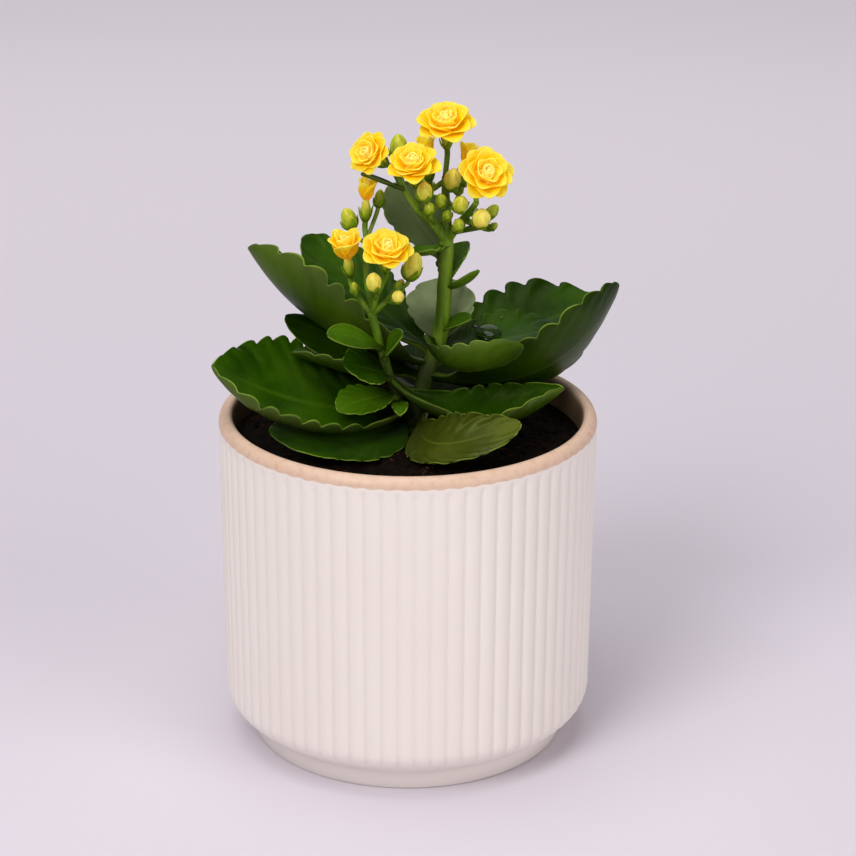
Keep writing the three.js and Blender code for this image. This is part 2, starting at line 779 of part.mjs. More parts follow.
/** A flower head: its branches, stalks, calyxes, buds and bracts, all grown together. */
function flowerHead(head) {
  const branches = BRANCHES[head].map(({ path, radii }) => stalk(path, radii, { sides: 6, steps: 4 }));
  const buds = BUDS[head].flatMap((bud) => makeBud(head, bud));
  const bracts = BRACTS[head].map(makeLeaf);
  const stalks = Object.values(FLOWERS)
    .filter((flower) => flower.head === head)
    .flatMap(makeFlowerStalk);
  return union([...branches, ...buds, ...bracts, ...stalks]);
}

// ---------------------------------------------------------------- soil

/** Soil that fills the pot to just below its rim, with a lumpy top and a hole for the stem. */
function makeSoil() {
  const rings = 7;
  const top = SOIL.edgeHeight;
  const edge = POT.innerRadius - GAP;
  const profile = [
    [0, POT.floorThickness + GAP],
    [edge - 6, POT.floorThickness + GAP],
    [edge - 0.6, POT.floorThickness + 6],
    [edge, top - 3],
  ];
  for (let i = 0; i <= rings; i++) profile.push([edge * (1 - i / rings), top]);
  const filling = turned(profile, SOIL.segments, (point) => {
    if (point.z < top - 0.1) return;
    const share = Math.hypot(point.x, point.y) / edge;
    const lump = Math.sin(point.x * 0.31 + 1) * Math.cos(point.y * 0.27) * SOIL.lump;
    point.z += SOIL.crownRise * (1 - share ** 2) + lump * (1 - share ** 4);
  });
  return filling.subtract(mainStem(GAP));
}

// ---------------------------------------------------------------- the whole plant

place("pot", makePot(), GLAZE_FINISH);
place("soil", makeSoil(), SOIL_FINISH);

const tallHead = flowerHead("tall");
const shortHead = flowerHead("short");
const stemSpace = union([mainStem(GAP), sideStem(GAP)]);
place("main_stem", fused([mainStem(0), tallHead]), STEM_FINISH);
place("side_stem", largestBody(union([sideStem(0), shortHead]).subtract(mainStem(GAP))), STEM_FINISH);
for (const [name, leaf] of Object.entries(LEAVES)) {
  place(`leaf_${name}`, largestBody(makeLeaf(leaf).subtract(stemSpace)), LEAF_FINISH);
}
Object.entries(FLOWERS).forEach(([name, flower], index) => {
  place(`flower_${name}`, makeFlower(flower, index), PETAL_FINISH);
});

export default group;
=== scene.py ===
"""Looks for a potted kalanchoe: a fluted pot, dark soil, scalloped leaves and double yellow flowers.

Pieces are modelled in millimetres, and each finished mesh is then brought to metres.
"""

import functools
import logging
import math
import random
from collections.abc import Callable, Iterable, Sequence
from dataclasses import dataclass, field
from enum import Enum

import bmesh
import bpy
from mathutils import Matrix, Quaternion, Vector, noise


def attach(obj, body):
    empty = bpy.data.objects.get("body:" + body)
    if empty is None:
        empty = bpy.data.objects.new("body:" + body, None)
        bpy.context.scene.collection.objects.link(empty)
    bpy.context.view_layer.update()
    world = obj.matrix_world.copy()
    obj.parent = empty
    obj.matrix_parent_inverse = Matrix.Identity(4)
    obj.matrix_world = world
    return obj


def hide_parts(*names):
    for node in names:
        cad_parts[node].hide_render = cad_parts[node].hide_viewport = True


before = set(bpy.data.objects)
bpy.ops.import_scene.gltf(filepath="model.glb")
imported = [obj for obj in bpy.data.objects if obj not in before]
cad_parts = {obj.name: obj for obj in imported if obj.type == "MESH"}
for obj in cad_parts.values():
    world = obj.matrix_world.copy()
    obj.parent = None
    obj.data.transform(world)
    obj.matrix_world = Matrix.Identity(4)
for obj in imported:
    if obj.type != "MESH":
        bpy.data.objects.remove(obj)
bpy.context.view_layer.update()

MM = 0.001
BODY = "root"
LOG = logging.getLogger("kalanchoe")
UP = Vector((0.0, 0.0, 1.0))
BMesh = bmesh.types.BMesh
BMVert = bmesh.types.BMVert
Colour = tuple[float, float, float]
Material = bpy.types.Material
Outline = tuple[tuple[float, float], ...]
Point = tuple[float, float, float]
Socket = bpy.types.NodeSocket
Span = tuple[float, float]


def linear(value: int) -> float:
    """One channel of a screen colour, from 0 to 255, made linear."""
    share = value / 255
    return share / 12.92 if share <= 0.04045 else ((share + 0.055) / 1.055) ** 2.4


def screen(red: int, green: int, blue: int) -> Colour:
    """The linear colour of a colour given as 0 to 255 on a screen."""
    return linear(red), linear(green), linear(blue)


def lerp(low: float, high: float, share: float) -> float:
    """The value at a share of the way from low to high."""
    return low + (high - low) * share


def smooth(value: float, start: float, end: float) -> float:
    """A smooth rise from 0 at start to 1 at end."""
    share = min(max((value - start) / (end - start), 0.0), 1.0)
    return share * share * (3 - 2 * share)


def plateau(value: float, rise: Span, fall: Span) -> float:
    """A smooth rise from 0 to 1 over one span, and a fall back to 0 over another."""
    return smooth(value, *rise) * (1 - smooth(value, *fall))


def directions(turn: float) -> tuple[Vector, Vector]:
    """The level directions outwards and sideways, at a turn about the Z axis."""
    return Vector((math.cos(turn), math.sin(turn), 0.0)), Vector((-math.sin(turn), math.cos(turn), 0.0))


# ---------------------------------------------------------------- materials


class Graph:
    """The nodes of one material, with short ways to add and join them."""

    def __init__(self, name: str) -> None:
        """Makes a material whose surface is one Principled shader.

        Args:
            name: the material's name.
        """
        self.material = bpy.data.materials.new(name)
        self.material.use_nodes = True
        self.nodes = self.material.node_tree.nodes
        self.links = self.material.node_tree.links
        self.nodes.clear()
        self.shader = self.add("BsdfPrincipled", {})
        self.add("OutputMaterial", {"Surface": self.shader.outputs[0]})
        self.object_place = self.add("TexCoord", {}).outputs["Object"]

    def feed(self, socket: Socket, value: object) -> None:
        """Joins a node's output to a socket, or sets the socket to a plain value.

        Args:
            socket: the input.
            value: an output, a colour, a vector or a number.
        """
        if isinstance(value, bpy.types.NodeSocket):
            self.links.new(value, socket)
        elif isinstance(value, tuple) and socket.type == "RGBA":
            socket.default_value = (*value, 1.0)
        else:
            socket.default_value = value

    def add(self, kind: str, inputs: dict[int | str, object], **settings: object) -> bpy.types.Node:
        """Adds a node.

        Args:
            kind: its type, without ShaderNode in front.
            inputs: what its sockets are fed, by number or name.
            settings: its other properties.

        Returns:
            The node.
        """
        node = self.nodes.new(f"ShaderNode{kind}")
        for name, value in settings.items():
            setattr(node, name, value)
        for socket, value in inputs.items():
            self.feed(node.inputs[socket], value)
        return node

    def uv(self) -> tuple[Socket, Socket]:
        """The places along and across a sheet, both from 0 to 1."""
        parts = self.add("SeparateXYZ", {0: self.add("UVMap", {}).outputs[0]}).outputs
        return parts[0], parts[1]

    def axes(self) -> tuple[Socket, Socket, Socket]:
        """The three object coordinates, in metres."""
        parts = self.add("SeparateXYZ", {0: self.object_place}).outputs
        return parts[0], parts[1], parts[2]

    def attribute(self, name: str) -> Socket:
        """A number stored on the mesh's points."""
        return self.add("Attribute", {}, attribute_name=name).outputs["Fac"]

    def math(self, operation: str, *values: object) -> Socket:
        """What one Math node makes of its values."""
        return self.add("Math", dict(enumerate(values)), operation=operation).outputs[0]

    def times(self, value: Socket, factor: object) -> Socket:
        """A number times a factor."""
        return self.math("MULTIPLY", value, factor)

    def line(self, value: Socket, factor: float, start: object) -> Socket:
        """A number times a factor, plus a start."""
        return self.math("MULTIPLY_ADD", value, factor, start)

    def rest(self, value: Socket) -> Socket:
        """What a number leaves of 1."""
        return self.math("SUBTRACT", 1.0, value)

    def larger(self, one: Socket, other: Socket) -> Socket:
        """The larger of two numbers."""
        return self.math("MAXIMUM", one, other)

    def fade(self, value: Socket, start: float, end: float) -> Socket:
        """A smooth rise from 0 at start to 1 at end."""
        inputs = {"Value": value, "From Min": start, "From Max": end}
        return self.add("MapRange", inputs, interpolation_type="SMOOTHSTEP").outputs[0]

    def noise(self, scale: float, detail: float, stretch: Point | None = None) -> Socket:
        """Soft noise from 0 to 1 on object coordinates.

        Args:
            scale: waves in each metre.
            detail: how many finer layers are added.
            stretch: factors on the three coordinates.

        Returns:
            The noise's value.
        """
        place = self.object_place
        if stretch:
            place = self.add("Mapping", {"Vector": place, "Scale": stretch}).outputs[0]
        return self.add("TexNoise", {"Vector": place, "Scale": scale, "Detail": detail}).outputs[0]

    def mix(self, share: object, low: object, high: object) -> Socket:
        """A colour at a share of the way from a low colour to a high one."""
        return self.add("Mix", {0: share, 6: low, 7: high}, data_type="RGBA").outputs[2]

    def ramp(self, value: Socket, stops: Sequence[tuple[float, Colour]]) -> Socket:
        """A colour read from a list of places and colours.

        Args:
            value: where to read, from 0 to 1.
            stops: the places, in rising order, with their colours.

        Returns:
            The colour.
        """
        node = self.add("ValToRGB", {0: value})
        elements = node.color_ramp.elements
        while len(elements) < len(stops):
            elements.new(1.0)
        for element, (place, colour) in zip(elements, stops):
            element.position = place
            element.color = (*colour, 1.0)
        return node.outputs[0]

    def bump(self, height: Socket, depth: float, strength: float) -> Socket:
        """The normal of a surface raised by a height of 0 to 1, which stands for a depth in metres."""
        inputs = {"Strength": strength, "Distance": depth, "Height": height}
        return self.add("Bump", inputs).outputs[0]

    def finish(self, **values: object) -> Material:
        """Sets the shader's sockets.

        Args:
            values: what each socket is fed, by its name with _ for a space.

        Returns:
            The finished material.
        """
        for name, value in values.items():
            self.feed(self.shader.inputs[name.replace("_", " ")], value)
        return self.material


@dataclass(frozen=True)
class GlazeFinish:
    """Cream glaze with a peach band on the lip, and a bare beige inside darkened to brown by painted shade.

    Heights and radii are in metres, and a span is where a change starts and where it ends.
    """

    name: str = "cream_glaze"
    cream: Colour = screen(242, 234, 228)
    warm: Colour = screen(238, 228, 219)
    lip: Colour = screen(220, 188, 164)
    lip_specks: Colour = screen(210, 174, 148)
    # The inside colour is the bare beige inside wall darkened by painted shade.
    inside: Colour = screen(128, 102, 78)
    flutes: int = 72
    band_height: float = 0.1052
    band_wave: float = -0.00015
    band_unevenness: float = 0.0007
    band_edge: Span = (-0.0002, 0.0003)
    inside_radius: Span = (0.0553, 0.0563)
    inside_height: Span = (0.03, 0.05)
    dimple_depth: float = 0.0001

    def material(self) -> Material:
        """The glaze, with its band placed by height and waved by the flutes.

        Returns:
            The material.
        """
        graph = Graph(self.name)
        x, y, z = graph.axes()
        patchy = graph.noise(26.0, 4.0)
        fine = graph.noise(420.0, 3.0)
        wave = graph.math("COSINE", graph.times(graph.math("ARCTAN2", y, x), float(self.flutes)))
        border = graph.line(wave, self.band_wave, self.band_height)
        border = graph.line(fine, self.band_unevenness, border)
        band = graph.fade(graph.math("SUBTRACT", z, border), *self.band_edge)
        squares = [graph.math("POWER", side, 2.0) for side in (x, y)]
        radius = graph.math("SQRT", graph.math("ADD", *squares))
        # Painted shade: the inside wall takes the darker inside colour.
        inner = graph.rest(graph.fade(radius, *self.inside_radius))
        inner = graph.times(inner, graph.fade(z, *self.inside_height))
        lip = graph.mix(graph.fade(fine, 0.4, 0.8), self.lip, self.lip_specks)
        colour = graph.mix(band, graph.mix(patchy, self.cream, self.warm), lip)
        return graph.finish(
            Base_Color=graph.mix(inner, colour, self.inside),
            Roughness=graph.line(patchy, 0.18, 0.36),
            Normal=graph.bump(graph.noise(700.0, 2.0), self.dimple_depth, 0.35),
            Specular_IOR_Level=0.35,
            Coat_Weight=0.05,
        )


@dataclass(frozen=True)
class SoilFinish:
    """Damp dark earth; crumbs and fibres take their tone from a number on their points."""

    name: str = "dark_soil"
    tones: tuple[Colour, ...] = (screen(9, 7, 5), screen(22, 15, 10), screen(44, 28, 18), screen(104, 58, 36))
    by_tone: bool = False
    clod_share: float = 0.55
    grain_share: float = 0.3
    dampness: float = 0.12
    grain_depth: float = 0.0008

    def material(self) -> Material:
        """The earth, mottled at three sizes.

        Returns:
            The material.
        """
        graph = Graph(self.name)
        coarse = graph.noise(160.0, 6.0)
        tone = graph.attribute("tone") if self.by_tone else graph.times(coarse, self.clod_share)
        tone = graph.math("SUBTRACT", tone, self.dampness)
        tone = graph.line(graph.noise(900.0, 4.0), self.grain_share, tone)
        stops = [(index / (len(self.tones) - 1), tint) for index, tint in enumerate(self.tones)]
        return graph.finish(
            Base_Color=graph.ramp(tone, stops),
            Roughness=graph.line(coarse, 0.4, 0.5),
            Normal=graph.bump(graph.noise(1300.0, 5.0), self.grain_depth, 0.8),
            Specular_IOR_Level=0.04,
        )


@dataclass(frozen=True)
class LeafFinish:
    """A leaf face: two greens, a rib, faint veins, a pale margin that is partly painted highlight, painted
    sheen and painted shade.

    The sheen share is how much painted sheen lies on the face in pale patches and in streaks on the ridges,
    and the rim sheen share how much of it lies near the margin.
    Widths are shares of half the leaf's width, and the other shares say how far a colour covers.
    """

    name: str
    deep: Colour
    light: Colour
    rib: Colour
    roughness: float
    specular: float
    # Painted sheen: pale patches and streaks on the ridges, and more of it near the margin, in the sheen
    # colour.
    painted_sheen: float = 0.0
    rim_painted_sheen: float = 0.0
    # The margin colour is partly the leaf's own pale edge, partly a painted highlight on the rounded rim.
    margin: Colour = screen(136, 160, 60)
    painted_sheen_colour: Colour = screen(98, 110, 60)
    # Painted shade in the creases and near the leaf's foot.
    shade: Colour = screen(8, 22, 0)
    shine: Colour = (0.8, 1.0, 0.35)
    vein_spacing: float = 30.0
    vein_slant: float = -0.16
    vein_width: float = 0.22
    vein_share: float = 0.1
    rib_width: float = 0.055
    rib_share: float = 0.6
    # The crease share sets painted shade in the creases, the streak values painted sheen on the ridges, and
    # the foot values painted shade near the leaf's foot.
    crease_shade_share: float = 0.45
    painted_streak_gain: float = 5.0
    painted_streak_share: float = 0.6
    fleck_share: float = 0.18
    foot_shade_end: float = 0.45
    foot_shade_share: float = 0.6

    def material(self) -> Material:
        """The leaf face, patterned along and across the blade.

        Returns:
            The material.
        """
        graph = Graph(self.name)
        along, across = graph.uv()
        side = graph.math("ABSOLUTE", graph.line(across, 2.0, -1.0))
        ridge = graph.attribute("crease")
        large, patch, small = graph.noise(55.0, 4.0), graph.noise(38.0, 2.0), graph.noise(650.0, 3.0)
        slant = graph.line(side, self.vein_slant, along)
        vein = graph.math("ABSOLUTE", graph.math("SINE", graph.times(slant, self.vein_spacing)))
        vein = graph.times(graph.rest(graph.fade(vein, 0.0, self.vein_width)), graph.fade(side, 1.0, 0.4))
        rib = graph.times(graph.rest(graph.fade(side, 0.0, self.rib_width)), graph.fade(along, 1.0, 0.55))
        lines = graph.larger(graph.times(rib, self.rib_share), graph.times(vein, self.vein_share))
        # Painted sheen: pale streaks on the ridges, pale patches, and more near the margin.
        painted_streak = graph.times(graph.fade(ridge, 0.1, 0.8), graph.fade(patch, 0.42, 0.62))
        painted_streak = graph.times(painted_streak, min(self.painted_sheen * self.painted_streak_gain, self.painted_streak_share))
        painted_sheen_mask = graph.larger(graph.times(graph.fade(patch, 0.5, 0.75), self.painted_sheen), painted_streak)
        painted_sheen_mask = graph.larger(painted_sheen_mask, graph.times(graph.fade(side, 0.6, 0.95), self.rim_painted_sheen))
        # The margin line: partly the leaf's own pale edge, partly a painted highlight.
        edge = graph.fade(graph.line(small, 0.03, side), 0.985, 1.015)
        edge = graph.times(edge, graph.line(graph.fade(large, 0.4, 0.65), 0.5, 0.4))
        colour = graph.mix(graph.fade(large, 0.3, 0.72), self.deep, self.light)
        # Layers over the two greens: rib and veins, painted shade in the creases, painted sheen, the margin
        # with its painted highlight, flecks, and painted shade near the foot.
        for share, tint in (
            (lines, self.rib),
            (graph.times(graph.fade(ridge, 0.0, -0.8), self.crease_shade_share), self.shade),
            (painted_sheen_mask, self.painted_sheen_colour),
            (edge, self.margin),
            (graph.times(graph.fade(small, 0.55, 0.8), self.fleck_share), self.light),
            (graph.times(graph.fade(along, self.foot_shade_end, 0.0), self.foot_shade_share), self.shade),
        ):
            colour = graph.mix(share, colour, tint)
        return graph.finish(
            Base_Color=colour,
            Roughness=graph.line(large, 0.2, self.roughness - 0.1),
            Normal=graph.bump(graph.line(lines, -0.5, small), 0.00025, 0.45),
            Specular_IOR_Level=self.specular,
            Specular_Tint=self.shine,
        )


@dataclass(frozen=True)
class StemFinish:
    """A fleshy green stem, with fine streaks along it, and near the soil a dark brown that is partly its own
    colour and partly painted shade under the leaves.
    """

    name: str = "green_stem"
    green: Colour = screen(78, 110, 10)
    light: Colour = screen(122, 152, 30)
    brown_and_shade: Colour = screen(22, 26, 6)
    brown_and_shade_share: float = 0.85
    brown_and_shade_ends: Span = (0.119, 0.137)
    streaks_along: Point = (1.0, 1.0, 0.16)

    def material(self) -> Material:
        """The stem's skin.

        Returns:
            The material.
        """
        graph = Graph(self.name)
        streaks = graph.noise(300.0, 4.0, self.streaks_along)
        colour = graph.mix(graph.fade(streaks, 0.35, 0.7), self.green, self.light)
        # Darker near the soil: partly the stem's own brown, partly painted shade under the leaves.
        low = graph.rest(graph.fade(graph.axes()[2], *self.brown_and_shade_ends))
        return graph.finish(
            Base_Color=graph.mix(graph.times(low, self.brown_and_shade_share), colour, self.brown_and_shade),
            Roughness=graph.line(streaks, 0.25, 0.35),
            Normal=graph.bump(streaks, 0.0003, 0.4),
            Specular_IOR_Level=0.3,
        )


@dataclass(frozen=True)
class BudFinish:
    """Closed petals that turn from green to yellow with ripeness, a number on their points that also carries
    painted shade in the bud's grooves.
    """

    name: str = "bud_skin"
    stops: tuple[tuple[float, Colour], ...] = (
        (0.0, screen(112, 142, 16)),
        (0.35, screen(168, 184, 34)),
        (0.7, screen(226, 216, 76)),
        (1.0, screen(252, 234, 106)),
    )
    spot_share: float = 0.35

    def material(self) -> Material:
        """The bud's skin.

        Returns:
            The material.
        """
        graph = Graph(self.name)
        spots = graph.noise(900.0, 3.0)
        ripe = graph.line(graph.math("SUBTRACT", spots, 0.5), self.spot_share, graph.attribute("ripe"))
        return graph.finish(
            Base_Color=graph.ramp(ripe, self.stops),
            Roughness=graph.line(spots, 0.2, 0.4),
            Normal=graph.bump(spots, 0.0001, 0.3),
            Specular_IOR_Level=0.3,
            Subsurface_Weight=0.4,
            Subsurface_Scale=0.0015,
        )


@dataclass(frozen=True)
class PetalFinish:
    """Thin yellow petals: deeper orange at the root, partly their own colour and partly painted shade between
    the petals, and paler near the heart of the flower.

    glow stands in for light that shines through the petals, and is larger in the inner rings.
    """

    name: str = "yellow_petal"
    # The root colour is partly the petal's own deeper orange, partly painted shade between the petals.
    root: Colour = screen(254, 176, 0)
    blade: Colour = screen(254, 208, 10)
    tip: Colour = screen(255, 228, 84)
    point: Colour = screen(150, 110, 20)
    heart: Colour = screen(255, 238, 140)
    heart_share: float = 0.75
    patch_share: float = 0.3
    point_start: float = 0.985
    point_share: float = 0.5
    veins: float = 60.0
    vein_depth: float = 0.00004
    glow: float = 0.07

    def material(self) -> Material:
        """The petal, coloured along its length and by the ring that it is in.

        Returns:
            The material.
        """
        graph = Graph(self.name)
        along, across = graph.uv()
        ring = graph.attribute("ring")
        patches = graph.noise(300.0, 3.0)
        colour = graph.ramp(along, [(0.1, self.root), (0.6, self.blade), (0.96, self.tip)])
        for share, tint in (
            (graph.times(graph.fade(ring, 0.5, 1.0), self.heart_share), self.heart),
            (graph.times(graph.fade(patches, 0.5, 0.8), self.patch_share), self.root),
            (graph.times(graph.fade(along, self.point_start, 1.0), self.point_share), self.point),
        ):
            colour = graph.mix(share, colour, tint)
        veins = graph.math("SINE", graph.times(across, self.veins))
        return graph.finish(
            Base_Color=colour,
            Roughness=graph.line(patches, 0.2, 0.4),
            Normal=graph.bump(veins, self.vein_depth, 0.4),
            Specular_IOR_Level=0.25,
            Subsurface_Weight=0.6,
            Subsurface_Radius=(1.0, 0.75, 0.2),
            Subsurface_Scale=0.002,
            Emission_Color=colour,
            Emission_Strength=graph.line(ring, self.glow, self.glow),
        )


@dataclass(frozen=True)
class WaterFinish:
    """Clear water drops."""

    name: str = "water"

    def material(self) -> Material:
        """Clear water, very slightly uneven.

        Returns:
            The material.
        """
        graph = Graph(self.name)
        return graph.finish(
            Base_Color=(1.0, 1.0, 1.0),
            Roughness=0.02,
            IOR=1.33,
            Transmission_Weight=1.0,
            Normal=graph.bump(graph.noise(200.0, 1.0), 0.00005, 0.2),
        )


class LeafTone(Enum):
    """The kinds of leaf on the plant, by the look of their faces."""

    DEEP = "deep"
    # A darker copy of the deep leaf, for leaves in shade: painted shade.
    DARK = "dark"
    # The deep leaf with more painted sheen.
    WAXY = "waxy"
    FRESH = "fresh"
    OLIVE = "olive"
    # Grey-green and pale: leaf greens paled by painted sheen.
    GREY = "grey"
    PALE = "pale"


# For each tone its upper and its under face: deep, light and rib colour on a screen, roughness,
# specular level, painted sheen and painted sheen near the margin.
LEAF_LOOKS = {
    LeafTone.DEEP: (
        ((20, 48, 0), (46, 80, 1), (58, 90, 10), 0.34, 0.12, 0.06),
        ((42, 66, 2), (66, 90, 10), (88, 108, 30), 0.44, 0.15, 0.1, 0.3),
    ),
    # Painted shade: the deep leaf's greens darkened for leaves in shade.
    LeafTone.DARK: (
        ((14, 34, 0), (28, 52, 1), (44, 70, 10), 0.6, 0.04, 0.05),
        ((26, 42, 2), (40, 58, 6), (60, 80, 20), 0.6, 0.04, 0.05),
    ),
    # Painted sheen over the deep leaf's greens.
    LeafTone.WAXY: (
        ((22, 50, 0), (46, 78, 2), (58, 90, 10), 0.36, 0.12, 0.1),
        ((20, 42, 0), (44, 66, 2), (60, 82, 10), 0.36, 0.12, 0.1),
    ),
    LeafTone.FRESH: (
        ((46, 80, 2), (70, 106, 8), (92, 126, 30), 0.4, 0.18),
        ((62, 94, 10), (86, 116, 22), (108, 136, 46), 0.45, 0.25),
    ),
    LeafTone.OLIVE: (
        ((50, 60, 6), (80, 88, 20), (94, 106, 34), 0.38, 0.2, 0.3),
        ((56, 68, 16), (82, 94, 32), (100, 110, 50), 0.42, 0.25, 0.2),
    ),
    # Grey and pale tones: leaf greens paled by painted sheen.
    LeafTone.GREY: (
        ((54, 72, 34), (84, 98, 62), (96, 112, 70), 0.45, 0.15, 0.2),
        ((58, 76, 38), (88, 102, 64), (100, 114, 72), 0.5, 0.2),
    ),
    LeafTone.PALE: (
        ((88, 106, 62), (150, 164, 120), (166, 178, 134), 0.5, 0.15, 0.2),
        ((96, 112, 66), (130, 144, 96), (150, 162, 116), 0.55, 0.25),
    ),
}
# Like the leaves: the sepal margin is partly painted highlight and the foot carries painted shade.
SEPAL_FINISH = LeafFinish(
    "sepal", screen(86, 122, 8), screen(122, 156, 22), screen(130, 160, 40), 0.45, 0.2,
    margin=screen(150, 176, 50),
)
GLAZE_FINISH = GlazeFinish()
SOIL_FINISH = SoilFinish()
CRUMB_FINISH = SoilFinish(name="soil_crumbs", by_tone=True)
STEM_FINISH = StemFinish()
BUD_FINISH = BudFinish()
PETAL_FINISH = PetalFinish()
WATER_FINISH = WaterFinish()
Finish = GlazeFinish | SoilFinish | LeafFinish | StemFinish | BudFinish | PetalFinish | WaterFinish


def leaf_finish(tone: LeafTone, under: bool) -> LeafFinish:
    """The finish of a leaf's upper or under face.

    Args:
        tone: the kind of leaf.
        under: whether it is the under face.

    Returns:
        The finish.
    """
    *colours, roughness, specular = LEAF_LOOKS[tone][under][:5]
    name = f"leaf_{tone.value}_under" if under else f"leaf_{tone.value}"
    greens = [screen(*colour) for colour in colours]
    return LeafFinish(name, *greens, roughness, specular, *LEAF_LOOKS[tone][under][5:])


@functools.cache
def material_of(finish: Finish) -> Material:
    """The one material of a finish."""
    return finish.material()


# ---------------------------------------------------------------- mesh helpers


def add_sheet(
    bm: BMesh, along: int, across: int, shape: Callable[[float, float], Vector]
) -> list[BMVert]:
    """Adds an open sheet: a grid laid out by a shape.

    Args:
        bm: the mesh, with a UV layer.
        along: faces along the sheet.
        across: faces across the sheet.
        shape: the place for a share along (0 to 1) and a place across (-1 to 1).

    Returns:
        The sheet's vertices.
    """
    made = bmesh.ops.create_grid(bm, x_segments=along, y_segments=across, size=1.0, calc_uvs=True)["verts"]
    for vert in made:
        vert.co = shape((vert.co.x + 1) / 2, vert.co.y)
    return made


def add_turned(bm: BMesh, profile: Sequence[tuple[float, float]], segments: int) -> list[BMVert]:
    """Adds a closed shape by turning a profile about the Z axis.

    Args:
        bm: the mesh.
        profile: places of radius and height.
        segments: steps in the turn.

    Returns:
        The shape's vertices.
    """
    before = set(bm.verts)
    verts = [bm.verts.new((radius, 0.0, height)) for radius, height in profile]
    edges = [bm.edges.new(pair) for pair in zip(verts, verts[1:])]
    geometry = [*verts, *edges]
    bmesh.ops.spin(
        bm, geom=geometry, cent=(0, 0, 0), axis=UP, angle=math.tau, steps=segments, use_merge=True
    )
    made = [vert for vert in bm.verts if vert not in before]
    bmesh.ops.remove_doubles(bm, verts=made, dist=1e-4)
    return [vert for vert in bm.verts if vert not in before]


def face_outwards(bm: BMesh, verts: Iterable[BMVert]) -> None:
    """Points the faces of a closed shape outwards."""
    faces = {face for vert in verts for face in vert.link_faces}
    bmesh.ops.recalc_face_normals(bm, faces=list(faces))


class SmoothLine:
    """A smooth line through points, even in its spacing, as the stems of the solid model run."""

    samples = 96

    def __init__(self, points: Sequence[Point | Vector]) -> None:
        """Samples a centripetal curve.

        Args:
            points: what the line runs through.
        """
        corners = [Vector(point) for point in points]
        ends = [corners[0] * 2 - corners[1], *corners, corners[-1] * 2 - corners[-2]]
        self.places: list[Vector] = []
        for quad in zip(ends, ends[1:], ends[2:], ends[3:]):
            self.places += [self._between(quad, step / self.samples) for step in range(self.samples)]
        self.places.append(corners[-1])
        self.lengths = [0.0]
        for a, b in zip(self.places, self.places[1:]):
            self.lengths.append(self.lengths[-1] + (b - a).length)

    @staticmethod
    def _between(quad: Sequence[Vector], share: float) -> Vector:
        """A place on the stretch between the middle two of four points.

        Args:
            quad: the four points.
            share: how far along the stretch, from 0 to 1.

        Returns:
            The place.
        """
        p0, p1, p2, p3 = quad
        d0, d1, d2 = (math.sqrt((b - a).length) for a, b in zip(quad, quad[1:]))
        t1 = ((p1 - p0) / d0 - (p2 - p0) / (d0 + d1) + (p2 - p1) / d1) * d1
        t2 = ((p2 - p1) / d1 - (p3 - p1) / (d1 + d2) + (p3 - p2) / d2) * d1
        square = (p2 - p1) * 3 - t1 * 2 - t2
        cube = (p1 - p2) * 2 + t1 + t2
        return p1 + t1 * share + square * share**2 + cube * share**3

    def at(self, share: float) -> Vector:
        """The place at a share of the length.

        Args:
            share: from 0 to 1.

        Returns:
            The place.
        """
        goal = min(max(share, 0.0), 1.0) * self.lengths[-1]
        for index, length in enumerate(self.lengths[1:]):
            if length >= goal:
                step = length - self.lengths[index]
                rest = (goal - self.lengths[index]) / step if step else 0.0
                return self.places[index].lerp(self.places[index + 1], rest)
        return self.places[-1].copy()

    def at_height(self, height: float) -> Vector:
        """The place at a height."""
        return min(self.places, key=lambda place: abs(place.z - height)).copy()

    def direction(self, share: float) -> Vector:
        """Which way the line runs at a share of its length."""
        return (self.at(share + 0.01) - self.at(share - 0.01)).normalized()


def add_tube(
    bm: BMesh,
    line: SmoothLine,
    radius: Callable[[float], float],
    sides: int = 12,
    steps: int = 12,
) -> list[BMVert]:
    """Adds a round tube: a circle is extruded along a line, turned and scaled at each step.

    Args:
        bm: the mesh.
        line: the tube's middle line.
        radius: the radius for a share of the length.
        sides: corners of the circle.
        steps: stretches along the line.

    Returns:
        The tube's vertices.
    """
    heading = line.direction(0.0)
    turn = UP.rotation_difference(heading)
    size = radius(0.0)
    place = Matrix.LocRotScale(line.at(0.0), turn, (size,) * 3)
    ring = bmesh.ops.create_circle(bm, cap_ends=True, segments=sides, radius=1.0, matrix=place)["verts"]
    made = list(ring)
    edges = list({edge for vert in ring for edge in vert.link_edges})
    for step in range(1, steps + 1):
        share = step / steps
        grown = bmesh.ops.extrude_edge_only(bm, edges=edges)["geom"]
        ring = [item for item in grown if isinstance(item, BMVert)]
        edges = [item for item in grown if isinstance(item, bmesh.types.BMEdge)]
        edges = [edge for edge in edges if all(vert in ring for vert in edge.verts)]
        new_heading = line.direction(share)
        turn = heading.rotation_difference(new_heading) @ turn
        heading = new_heading
        size = radius(share)
        new_place = Matrix.LocRotScale(line.at(share), turn, (size,) * 3)
        bmesh.ops.transform(bm, matrix=new_place @ place.inverted(), verts=ring)
        place = new_place
        made += ring
    bmesh.ops.holes_fill(bm, edges=edges, sides=sides)
    face_outwards(bm, made)
    return made

def standing(facing: Vector, at: Vector, spin: float = 0.0) -> Matrix:
    """The matrix that turns +Z to a direction, spins about it and moves to a place."""
    turn = UP.rotation_difference(facing.normalized()) @ Quaternion(UP, spin)
    return Matrix.Translation(at) @ turn.to_matrix().to_4x4()


def new_mesh(*numbers: str) -> BMesh:
    """An empty mesh with a UV layer.

    Args:
        numbers: names of numbers that its points can store.

    Returns:
        The mesh.
    """
    bm = bmesh.new()
    bm.loops.layers.uv.new("sheet")
    for name in numbers:
        bm.verts.layers.float.new(name)
    return bm


